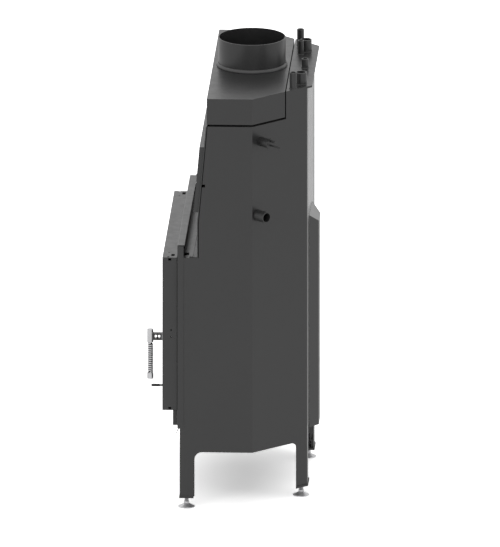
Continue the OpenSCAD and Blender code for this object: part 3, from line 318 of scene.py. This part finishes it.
SLOT_MATERIAL = {
    "casing": paint,
    "back_sheet": back_paint,
    "door": door_paint,
    "frame": frame_paint,
    "bright_steel": grip_steel,
    "zinc": zinc,
    "screw": black_screw,
    "shell": plate_primer,
    "pipe": pipe_paint,
    "cast": iron,
    "ceramic": board,
    "fibre": fibre,
    "glass": glass,
}
for part in frame["record"]["subparts"]:
    mesh = nodes[part["node"]].data
    mesh.materials.clear()
    mesh.materials.append(SLOT_MATERIAL[part["material_slot"]])


# Small tools for the added pieces

def add_piece(name, mesh_data, material, body, smooth=True):
    """Puts a finished mesh in the scene and ties it to its body."""
    mesh_data.materials.append(material)
    if smooth:
        mesh_data.shade_smooth()
    piece = bpy.data.objects.new(name, mesh_data)
    scene.collection.objects.link(piece)
    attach(piece, body)
    return piece


def frame_from_axis(origin, axis):
    """Matrix that puts a shape built along Z on an origin, along an axis."""
    turn = Vector((0, 0, 1)).rotation_difference(Vector(axis).normalized())
    return Matrix.Translation(Vector(origin)) @ turn.to_matrix().to_4x4()


def circle(bm, matrix, radius, height, steps):
    """Ring of vertices round Z."""
    return [
        bm.verts.new(matrix @ Vector((
            radius * math.cos(2 * math.pi * k / steps),
            radius * math.sin(2 * math.pi * k / steps),
            height,
        )))
        for k in range(steps)
    ]


def revolve(bm, profile, matrix, steps):
    """Turns a list of (radius, height) round Z and places it."""
    rings = []
    for radius, height in profile:
        if radius == 0:
            rings.append([bm.verts.new(matrix @ Vector((0, 0, height)))])
        else:
            rings.append(circle(bm, matrix, radius, height, steps))
    for low, high in zip(rings, rings[1:]):
        if len(low) == 1 and len(high) == 1:
            continue
        for k in range(steps):
            j = (k + 1) % steps
            if len(low) == 1:
                bm.faces.new((low[0], high[j], high[k]))
            elif len(high) == 1:
                bm.faces.new((low[k], low[j], high[0]))
            else:
                bm.faces.new((low[k], low[j], high[j], high[k]))


def skin(bm, rings, closed=False):
    """Joins rings of equal count with quads, and caps both ends unless the last ring joins the first."""
    for a, b in zip(rings, rings[1:] + rings[:1] if closed else rings[1:]):
        for k in range(len(a)):
            j = (k + 1) % len(a)
            bm.faces.new((a[k], a[j], b[j], b[k]))
    if not closed:
        bm.faces.new(list(reversed(rings[0])))
        bm.faces.new(rings[-1])


def mesh_from(build):
    """Runs a function that fills a bmesh and returns the mesh."""
    bm = bmesh.new()
    build(bm)
    bmesh.ops.recalc_face_normals(bm, faces=bm.faces)
    mesh_data = bpy.data.meshes.new("mesh")
    bm.to_mesh(mesh_data)
    bm.free()
    return mesh_data


# Floor, light and background

def ray_kinds(tree):
    """Two switches: 1 for camera rays, and 1 for glossy and transmission rays."""
    path = tree.nodes.new("ShaderNodeLightPath")
    either = tree.nodes.new("ShaderNodeMath")
    either.operation = "MAXIMUM"
    tree.links.new(path.outputs["Is Glossy Ray"], either.inputs[0])
    tree.links.new(path.outputs["Is Transmission Ray"], either.inputs[1])
    return path.outputs["Is Camera Ray"], either.outputs[0]


def mix_shaders(tree, share, first, second):
    """The first shader where the share is 0, and the second where it is 1."""
    node = tree.nodes.new("ShaderNodeMixShader")
    tree.links.new(share, node.inputs["Fac"])
    tree.links.new(first, node.inputs[1])
    tree.links.new(second, node.inputs[2])
    return node.outputs[0]


def lit_and_glowing(tree, tone, glow=0):
    """Returns a diffuse grey with a glow added to it, the grey alone, and the glow's node."""
    surface = tree.nodes.new("ShaderNodeBsdfDiffuse")
    surface.inputs["Color"].default_value = (*grey(tone), 1)
    light = tree.nodes.new("ShaderNodeEmission")
    light.inputs["Strength"].default_value = glow
    both = tree.nodes.new("ShaderNodeAddShader")
    tree.links.new(surface.outputs[0], both.inputs[0])
    tree.links.new(light.outputs[0], both.inputs[1])
    return both.outputs[0], surface.outputs[0], light


def distance(tree, coords, stretch, reach, values):
    """Goes smoothly from the first to the second value over a reach of distances from the origin."""
    scaled = tree.nodes.new("ShaderNodeVectorMath")
    scaled.operation = "MULTIPLY"
    scaled.inputs[1].default_value = stretch
    length = tree.nodes.new("ShaderNodeVectorMath")
    length.operation = "LENGTH"
    rise = tree.nodes.new("ShaderNodeMapRange")
    rise.interpolation_type = "SMOOTHSTEP"
    rise.inputs["From Min"].default_value = reach[0]
    rise.inputs["From Max"].default_value = reach[1]
    rise.inputs["To Min"].default_value = values[0]
    rise.inputs["To Max"].default_value = values[1]
    tree.links.new(coords, scaled.inputs[0])
    tree.links.new(scaled.outputs[0], length.inputs[0])
    tree.links.new(length.outputs["Value"], rise.inputs["Value"])
    return rise.outputs["Result"]


def stage_floor():
    """White to the camera but for the object's shadow and a painted shadow under it, white in metal and
    glass, plain to other rays.
    """
    half = 30
    drop = 0.5 * MM
    mesh_data = bpy.data.meshes.new("floor")
    corners = [(-half, -half, 0), (half, -half, 0), (half, half, 0), (-half, half, 0)]
    mesh_data.from_pydata(corners, [], [(0, 1, 2, 3)])
    material = bpy.data.materials.new("floor")
    material.use_nodes = True
    tree = material.node_tree
    tree.nodes.clear()
    output = tree.nodes.new("ShaderNodeOutputMaterial")
    seen, _, glow = lit_and_glowing(tree, tone=1.5)
    mirrored, plain, _ = lit_and_glowing(tree, tone=0.6, glow=0.4)
    coords = tree.nodes.new("ShaderNodeTexCoord").outputs["Object"]
    # Painted shadow: the floor's glow is lowest close under the object and rises outwards; far off it
    # rises again so the far floor stays white
    under = distance(tree, coords, stretch=(0.45, 1, 0), reach=(0.02, 0.28), values=(0.2, 0.5))
    far = distance(tree, coords, stretch=(1, 1, 0), reach=(0.7, 2.5), values=(0, 0.4))
    both = tree.nodes.new("ShaderNodeMath")
    tree.links.new(under, both.inputs[0])
    tree.links.new(far, both.inputs[1])
    tree.links.new(both.outputs[0], glow.inputs["Strength"])
    camera_ray, mirror_ray = ray_kinds(tree)
    not_camera = mix_shaders(tree, mirror_ray, plain, mirrored)
    tree.links.new(mix_shaders(tree, camera_ray, not_camera, seen), output.inputs["Surface"])
    mesh_data.materials.append(material)
    floor = bpy.data.objects.new("floor", mesh_data)
    floor.location.z = -drop
    scene.collection.objects.link(floor)


def white_world():
    """Soft light on the object, and white wherever the background is seen or mirrored."""
    world = bpy.data.worlds.new("world")
    world.use_nodes = True
    tree = world.node_tree
    tree.nodes.clear()
    output = tree.nodes.new("ShaderNodeOutputWorld")
    soft = tree.nodes.new("ShaderNodeBackground")
    white = tree.nodes.new("ShaderNodeBackground")
    soft.inputs["Strength"].default_value = 0.7
    white.inputs["Color"].default_value = (1, 1, 1, 1)
    white.inputs["Strength"].default_value = 1
    camera_ray, mirror_ray = ray_kinds(tree)
    light = mix_shaders(tree, mirror_ray, soft.outputs[0], white.outputs[0])
    tree.links.new(mix_shaders(tree, camera_ray, light, white.outputs[0]), output.inputs["Surface"])
    scene.world = world


def softbox(name, place, target, size, watts):
    """Square lamp that doesn't show in reflections."""
    data = bpy.data.lights.new(name, "AREA")
    data.shape = "SQUARE"
    data.size = size
    data.energy = watts
    lamp = bpy.data.objects.new(name, data)
    lamp.location = place
    lamp.rotation_euler = (Vector(target) - Vector(place)).to_track_quat("-Z", "Y").to_euler()
    lamp.visible_glossy = False
    scene.collection.objects.link(lamp)


stage_floor()
white_world()
softbox("top_light", place=(0, 0.1, 4.2), target=(0, 0, 0.6), size=2.6, watts=30)
softbox("side_light", place=(4, -1.2, 2.6), target=(0, 0, 0.7), size=3.6, watts=60)
softbox("back_light", place=(1.6, 4.2, 2.4), target=(0, 0, 0.7), size=2.4, watts=15)


# Spring on the grip: a round wire in one helix, straight for one wire at each end

def grip_spring():
    wire = 3 * MM
    turns = 15
    steps = 24
    sides = 10
    radius = spring_r - wire / 2
    rise = spring_high.z - spring_low.z - 2 * wire
    origin = Vector((spring_mid.x, spring_mid.y, spring_low.z))
    path = [Vector((radius, 0, 0))]
    for k in range(turns * steps + 1):
        angle = 2 * math.pi * k / steps
        path.append(Vector((
            radius * math.cos(angle),
            radius * math.sin(angle),
            wire + rise * k / (turns * steps),
        )))
    path.append(Vector((radius, 0, rise + 2 * wire)))

    def build(bm):
        rings = []
        for k, point in enumerate(path):
            if k in (0, len(path) - 1):
                along = Vector((0, 0, 1))
            else:
                along = (path[k + 1] - path[k - 1]).normalized()
            outward = Vector((point.x, point.y, 0)).normalized()
            side = along.cross(outward).normalized()
            up = side.cross(along)
            ring = []
            for j in range(sides):
                angle = 2 * math.pi * j / sides
                reach = math.cos(angle) * up + math.sin(angle) * side
                ring.append(bm.verts.new(origin + point + wire / 2 * reach))
            rings.append(ring)
        skin(bm, rings)

    piece = add_piece("grip_spring", mesh_from(build), wire_steel, "handle")
    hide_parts("handle_spring")


def grip_sleeve():
    """Dark tube over the core, seen between the turns of the spring; its dark colour is partly the core's
    own and partly painted shade for the gaps between the turns.
    """
    inset = 3.4 * MM
    edge = 0.2 * MM
    outer = spring_r - inset
    inner = outer - 1.5 * edge
    height = spring_high.z - spring_low.z - 2 * edge
    place = Matrix.Translation(Vector((spring_mid.x, spring_mid.y, spring_low.z + edge)))
    profile = [(outer - edge, 0), (outer, edge), (outer, height - edge), (outer - edge, height),
               (inner, height), (inner, 0), (outer - edge, 0)]

    def build(bm):
        revolve(bm, profile, place, steps=32)

    add_piece("grip_sleeve", mesh_from(build), core_painted_shade, "handle")


grip_spring()
grip_sleeve()


# Levelling feet: a pressed base, a hexagon and a threaded stem

def prism(bm, sides, across_flats, low, high, chamfer, matrix):
    """Regular prism along Z with its corners turned off at both ends."""
    corner = across_flats / 2 / math.cos(math.pi / sides)
    skin(bm, [
        circle(bm, matrix, corner - chamfer, low, sides),
        circle(bm, matrix, corner, low + chamfer / 2, sides),
        circle(bm, matrix, corner, high - chamfer / 2, sides),
        circle(bm, matrix, corner - chamfer, high, sides),
    ])


def thread(bm, root, crest, pitch, low, high, matrix, steps=24):
    """One closed helical ridge, as high as a screw thread."""
    turns = (high - low) / pitch - 1
    # Radius and height over the pitch of the ridge's four corners
    section = ((root, -0.42), (crest, -0.08), (crest, 0.08), (root, 0.42))
    rings = []
    for k in range(int(turns * steps) + 1):
        angle = 2 * math.pi * k / steps
        height = low + pitch * (0.5 + k / steps)
        rings.append([
            bm.verts.new(matrix @ Vector((
                radius * math.cos(angle), radius * math.sin(angle), height + share * pitch)))
            for radius, share in section
        ])
    skin(bm, rings)


# Rim of the foot's base, as distances in from its edge and heights
FOOT_RIM_MM = ((1.2, 0), (0.3, 0.4), (0, 1.2), (0.2, 2.6), (1.5, 3.3))
# Hollow slope from the rim up to the neck
FOOT_NECK_R = 6.9 * MM
FOOT_SLOPE_STEPS = 8
FOOT_SLOPE_POWER = 1.25
# A face whose normal rises more than this is flat and stays sharp
FOOT_FLAT_FACE = 0.97


def levelling_foot(name, node, body):
    low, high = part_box(node)
    base_r = (high.x - low.x) / 2
    height = high.z - low.z
    neck = 12 * MM
    hex_top = 18 * MM
    hex_w = 18 * MM * math.cos(math.pi / 6)
    hex_chamfer = 1 * MM
    stem_r = 6 * MM
    pitch = 1.75 * MM
    core = stem_r - 0.75 * MM
    thread_root = core - 0.1 * MM
    tip = 0.6 * MM
    sink = 0.5 * MM
    place = Matrix.Translation(Vector(((low.x + high.x) / 2, (low.y + high.y) / 2, low.z)))

    base = [(0, 0)] + [(base_r - inset * MM, rise * MM) for inset, rise in FOOT_RIM_MM]
    shoulder_r, shoulder = base[-1]
    for k in range(1, FOOT_SLOPE_STEPS + 1):
        share = k / FOOT_SLOPE_STEPS
        base.append((
            shoulder_r + (FOOT_NECK_R - shoulder_r) * share,
            shoulder + (neck - shoulder) * share ** FOOT_SLOPE_POWER,
        ))
    base.append((0, neck))
    stem = [(0, hex_top - sink), (core, hex_top - sink), (core, height - tip),
            (core - tip, height), (0, height)]

    def build(bm):
        revolve(bm, base, place, steps=48)
        prism(bm, 6, hex_w, neck - sink, hex_top, hex_chamfer, place)
        revolve(bm, stem, place, steps=24)
        thread(bm, thread_root, stem_r, pitch, hex_top, height - tip, place)

    piece = add_piece(name, mesh_from(build), zinc, body, smooth=False)
    for polygon in piece.data.polygons:
        polygon.use_smooth = abs(polygon.normal.z) < FOOT_FLAT_FACE
    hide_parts(node)


levelling_foot("foot_fr_threaded", "foot_front_right", "foot_fr")
levelling_foot("foot_fl_threaded", "foot_front_left", "foot_fl")
levelling_foot("foot_rr_threaded", "foot_rear_right", "foot_rr")
levelling_foot("foot_rl_threaded", "foot_rear_left", "foot_rl")


# Fibre tapes and the rope in the door, each one a ring in a plane of constant Y

def ring_path(half_x, low_z, high_z, corner, step):
    """Rounded rectangle as points and outward directions, for a sweep round it."""
    path = []
    centres = ((half_x - corner, high_z - corner, 0), (corner - half_x, high_z - corner, 90),
               (corner - half_x, low_z + corner, 180), (half_x - corner, low_z + corner, 270))
    for k, (x, z, start) in enumerate(centres):
        bend = max(3, int(math.pi / 2 * corner / step))
        for j in range(bend + 1):
            angle = math.radians(start + 90 * j / bend)
            path.append((x + corner * math.cos(angle), z + corner * math.sin(angle), angle))
        after = centres[(k + 1) % 4]
        turn = math.radians(start + 90)
        ahead = (after[0] + corner * math.cos(turn), after[1] + corner * math.sin(turn))
        here = path[-1]
        length = math.hypot(ahead[0] - here[0], ahead[1] - here[1])
        count = int(length / step)
        for j in range(1, count):
            share = j / count
            path.append((here[0] + (ahead[0] - here[0]) * share,
                         here[1] + (ahead[1] - here[1]) * share, turn))
    return path


def sweep_ring(bm, path, y, section):
    """Closed sweep: section(share) gives the (outward, across) points at a place on the ring."""
    rings = []
    for k, (x, z, angle) in enumerate(path):
        rings.append([
            bm.verts.new(Vector((x + out * math.cos(angle), y + across, z + out * math.sin(angle))))
            for out, across in section(k / len(path))
        ])
    skin(bm, rings, closed=True)


def tape_section(width, thick, waves):
    """Flat woven tape: soft edges and a slight swell at every strand."""
    swell_height = 0.08 * MM
    crown = 0.02 * MM
    edge_share = 0.6
    half_w = width / 2

    def section(share):
        swell = swell_height * math.cos(2 * math.pi * waves * share)
        half_t = thick / 2 - swell_height - crown + swell
        edge = half_t * edge_share
        return [(half_w, -edge / 2), (half_w, edge / 2), (half_w - edge, half_t), (0, half_t + crown),
                (edge - half_w, half_t), (-half_w, edge / 2), (-half_w, -edge / 2),
                (edge - half_w, -half_t), (0, -half_t - crown), (half_w - edge, -half_t)]

    return section


def woven_tape(name, node, body, rings):
    """rings: (half width, low, high, tape width), all measured along the tape's outer edge."""
    low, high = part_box(node)
    y = (low.y + high.y) / 2
    thick = high.y - low.y
    step = 3 * MM
    steps_per_wave = 4

    def build(bm):
        for half_x, low_z, high_z, width in rings:
            half_w = width / 2
            path = ring_path(half_x - half_w, low_z + half_w, high_z - half_w, half_w + MM, step)
            waves = len(path) // steps_per_wave
            sweep_ring(bm, path, y, tape_section(width, thick, waves))

    piece = add_piece(name, mesh_from(build), fibre, body)
    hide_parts(node)


def tapes():
    """The tape behind the surround runs in two rings, the one under the pane in one."""
    low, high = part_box("surround_seal")
    width = 22 * MM
    hole_in_door = 62 * MM
    inset = hole_in_door - width - 4 * MM
    woven_tape("surround_tape", "surround_seal", "casing", (
        (high.x, low.z, high.z, width),
        (door_high.x - inset, door_low.z + inset, door_high.z - inset, width),
    ))
    low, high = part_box("glass_seal")
    woven_tape("glass_tape", "glass_seal", "door", ((high.x, low.z, high.z, 10 * MM),))


def door_rope():
    """Three strands twisted round each other."""
    low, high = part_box("rope_seal")
    radius = (high.y - low.y) / 2
    lobe_height = 0.05
    lobes = 3
    corner = 12 * MM
    sides = 18
    step = 2.5 * MM
    steps_per_twist = 12

    def build(bm):
        path = ring_path(high.x - radius, low.z + radius, high.z - radius, corner, step)
        twists = len(path) // steps_per_twist

        def section(share):
            points = []
            for j in range(sides):
                angle = 2 * math.pi * j / sides
                lobe = math.cos(lobes * angle + 2 * math.pi * twists * share)
                reach = radius * (1 - lobe_height + lobe_height * lobe)
                points.append((reach * math.cos(angle), reach * math.sin(angle)))
            return points

        sweep_ring(bm, path, (low.y + high.y) / 2, section)

    piece = add_piece("door_rope", mesh_from(build), fibre, "door")
    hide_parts("rope_seal")


door_rope()
tapes()


# Screws with rounded heads and a hexagon socket

SCREW_HEAD_R = 4.5 * MM
SCREW_HEAD_H = 3 * MM


def socket_screw(bm, place, shank_r, shank_len):
    """Head towards +Z, with the seat at height 0."""
    rim_h = 0.35 * SCREW_HEAD_H
    flat_r = 0.55 * SCREW_HEAD_R
    socket_r = 0.42 * SCREW_HEAD_R
    steps = 6
    profile = [(0, -shank_len), (shank_r, -shank_len), (shank_r, 0),
               (SCREW_HEAD_R, 0), (SCREW_HEAD_R, rim_h)]
    for k in range(1, steps):
        angle = math.pi / 2 * k / steps
        profile.append((
            flat_r + (SCREW_HEAD_R - flat_r) * math.cos(angle),
            rim_h + (SCREW_HEAD_H - rim_h) * math.sin(angle),
        ))
    profile += [(flat_r, SCREW_HEAD_H), (1.12 * socket_r, SCREW_HEAD_H), (socket_r, 0.9 * SCREW_HEAD_H),
                (socket_r, 0.3 * SCREW_HEAD_H), (0, 0.2 * SCREW_HEAD_H)]
    revolve(bm, profile, place, steps=30)


def surround_screw_set():
    low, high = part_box("surround_screws")
    seat = surround_low.y
    shank_r = 2.5 * MM
    rises = (0.06, 0.35, 0.65, 0.9)
    first = low.z + SCREW_HEAD_R
    span = high.z - low.z - 2 * SCREW_HEAD_R

    def build(bm):
        for rise in rises:
            z = first + span * (rise - rises[0]) / (rises[-1] - rises[0])
            for x in (low.x + SCREW_HEAD_R, high.x - SCREW_HEAD_R):
                place = frame_from_axis((x, seat, z), (0, -1, 0))
                socket_screw(bm, place, shank_r, high.y - seat)

    piece = add_piece("surround_socket_screws", mesh_from(build), black_screw, "casing")
    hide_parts("surround_screws")


def cover_screw_set():
    low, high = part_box("cover_screws")
    lean = math.radians(5)
    axis = Vector((0, -math.cos(lean), -math.sin(lean)))
    mid = (low + high) / 2
    shank_r = 2 * MM
    shank_len = 0.4 * MM
    shares = (-1, -0.3 / 0.85, 0.3 / 0.85, 1)
    half = (high.x - low.x) / 2 - SCREW_HEAD_R

    def build(bm):
        for share in shares:
            seat = Vector((share * half, mid.y, mid.z)) - axis * SCREW_HEAD_H / 2
            socket_screw(bm, frame_from_axis(seat, axis), shank_r, shank_len)

    piece = add_piece("cover_socket_screws", mesh_from(build), black_screw, "casing")
    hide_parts("cover_screws")


surround_screw_set()
cover_screw_set()


# Weld fillets round the pipe stubs and sockets

# Each stub on the boiler top: place across, distance in front of the back wall, and radius
BOILER_STUBS_MM = ((207, 19.5, 16.85), (-163, 22, 16.85), (262, 40.5, 10.65), (-226, 41.5, 10.65),
                   (28, 16, 10), (-128, 36, 9))
BOILER_TOP_OVERHANG = 14.5 * MM


def fillet_ring(bm, place, radius, leg):
    """Slightly rippled concave bead where a pipe meets a plate."""
    steps = 48
    ripples = 24
    ripple_height = 0.12
    in_pipe = -0.2 * MM
    in_plate = -0.3 * MM
    toe = 0.1 * MM
    profile = ((in_pipe, in_plate), (leg, in_plate), (leg, toe),
               (0.45 * leg, 0.4 * leg), (toe, leg), (in_pipe, leg))
    rings = []
    for k in range(steps):
        angle = 2 * math.pi * k / steps
        ripple = 1 + ripple_height * math.sin(angle * ripples)
        rings.append([
            bm.verts.new(place @ Vector((
                (radius + out * ripple) * math.cos(angle), (radius + out * ripple) * math.sin(angle), up)))
            for out, up in profile
        ])
    skin(bm, rings, closed=True)


def boiler_welds():
    back_wall = boiler_top_high.y - BOILER_TOP_OVERHANG
    leg = 2 * MM

    def build(bm):
        for x, inward, radius in BOILER_STUBS_MM:
            place = Matrix.Translation(Vector((x * MM, back_wall - inward * MM, boiler_top_high.z)))
            fillet_ring(bm, place, radius * MM, leg)

    add_piece("boiler_weld_fillets", mesh_from(build), weld, "casing")


boiler_welds()


# Black caps in the spare slots at both ends of the door: painted shade for the dark inside seen through
# the slots

def slot_cap(bm, low, high):
    """Flat cap between two corners, with rounded corners in plan and a small chamfer on both faces."""
    corner = 1.5 * MM
    corner_steps = 3
    edge = 0.3 * MM
    mid = (low + high) / 2
    half = (high - low) / 2
    rings = []
    for inset, z in ((edge, low.z), (0, low.z + edge), (0, high.z - edge), (edge, high.z)):
        ring = []
        for sx, sy, start in ((1, 1, 0), (-1, 1, 90), (-1, -1, 180), (1, -1, 270)):
            for k in range(corner_steps + 1):
                angle = math.radians(start + 90 * k / corner_steps)
                ring.append(bm.verts.new(Vector((
                    mid.x + sx * (half.x - corner) + (corner - inset) * math.cos(angle),
                    mid.y + sy * (half.y - corner) + (corner - inset) * math.sin(angle),
                    z,
                ))))
        rings.append(ring)
    skin(bm, rings)


def door_slot_painted_shade():
    pin_inset = 8 * MM
    pin_y = -182.5 * MM
    slot_from_pin = 8 * MM
    slot = Vector((24, 10, 2.5)) * MM
    play = Vector((0.2, 0.2, 0.7)) * MM

    def build(bm):
        for side in (-1, 1):
            outer = side * (door_high.x - pin_inset - slot_from_pin)
            inner = outer - side * slot.x
            for z in (door_low.z, door_high.z - slot.z):
                low = Vector((min(outer, inner), pin_y + slot_from_pin, z))
                slot_cap(bm, low + play, low + slot - play)

    add_piece("door_slot_painted_shade", mesh_from(build), slot_painted_shade, "door", smooth=False)


door_slot_painted_shade()


# Rounded bead where the flue collar meets the hood

def collar_bead():
    """reach is how far it stands out past the collar's own foot."""
    pipe_r = 100 * MM
    reach = 1.7 * MM
    rise = 10 * MM
    steps = 8
    out = (collar_high.x - collar_low.x) / 2 - pipe_r + reach
    place = Matrix.Translation(Vector((collar_mid.x, collar_mid.y, collar_low.z)))
    profile = [(pipe_r, 0)]
    for k in range(steps + 1):
        angle = math.pi / 2 * k / steps
        profile.append((pipe_r + out * math.cos(angle), rise * math.sin(angle)))
    profile.append(profile[0])

    def build(bm):
        revolve(bm, profile, place, steps=96)

    # The bead's lighter paint is a painted highlight along its top
    add_piece("collar_foot_bead", mesh_from(build), bead_painted_highlight, "casing")


collar_bead()


# Dark print round the edge of the pane, on its inner side

def glass_print_frame():
    margin = 1 * MM
    border = 26 * MM
    thick = 0.12 * MM
    depth = glass_high.y

    def corners(bm, y, inset):
        low_x, high_x = glass_low.x + inset, glass_high.x - inset
        low_z, high_z = glass_low.z + inset, glass_high.z - inset
        return [
            bm.verts.new(Vector((x, y, z)))
            for x, z in ((low_x, low_z), (high_x, low_z), (high_x, high_z), (low_x, high_z))
        ]

    def build(bm):
        skin(bm, [corners(bm, depth, margin), corners(bm, depth, border),
                  corners(bm, depth + thick, border), corners(bm, depth + thick, margin)], closed=True)

    add_piece("glass_print_frame", mesh_from(build), print_black, "door", smooth=False)


glass_print_frame()


# Closed hem on the rear edge of the surround's top lip

def surround_hem():
    """reach is how far it stands behind the lip, and overlap how far it goes into it."""
    reach = 3.7 * MM
    overlap = 0.8 * MM
    radius = 1.2 * MM
    edge = 0.3 * MM
    sheet = 2.5 * MM
    steps = 8
    half_x = surround_high.x
    mid_z = surround_high.z - sheet / 2

    def build(bm):
        rings = []
        for x, r in ((-half_x, radius - edge), (edge - half_x, radius),
                     (half_x - edge, radius), (half_x, radius - edge)):
            outline = [(-overlap, -r)]
            for k in range(steps + 1):
                angle = math.pi * (k / steps - 0.5)
                outline.append((reach - radius + r * math.cos(angle), r * math.sin(angle)))
            outline.append((-overlap, r))
            rings.append([
                bm.verts.new(Vector((x, surround_high.y + out, mid_z + up)))
                for out, up in outline
            ])
        skin(bm, rings)

    add_piece("surround_hem", mesh_from(build), paint, "casing", smooth=False)


surround_hem()


# Soft edges on the sheet-metal nodes, so that folds and rims catch the light

SHEET_NODES = ("side_panel_right", "side_panel_left", "hood", "surround_frame", "door_frame",
               "front_cover", "boiler_top", "rear_duct", "front_frame", "upper_front_wall")
EDGE_WIDTH = 0.7 * MM
SMALLEST_FOLD = math.radians(35)

for node in SHEET_NODES:
    modifier = nodes[node].modifiers.new("soft_edges", "BEVEL")
    modifier.width = EDGE_WIDTH
    modifier.segments = 2
    modifier.limit_method = "ANGLE"
    modifier.angle_limit = SMALLEST_FOLD
    modifier.harden_normals = True
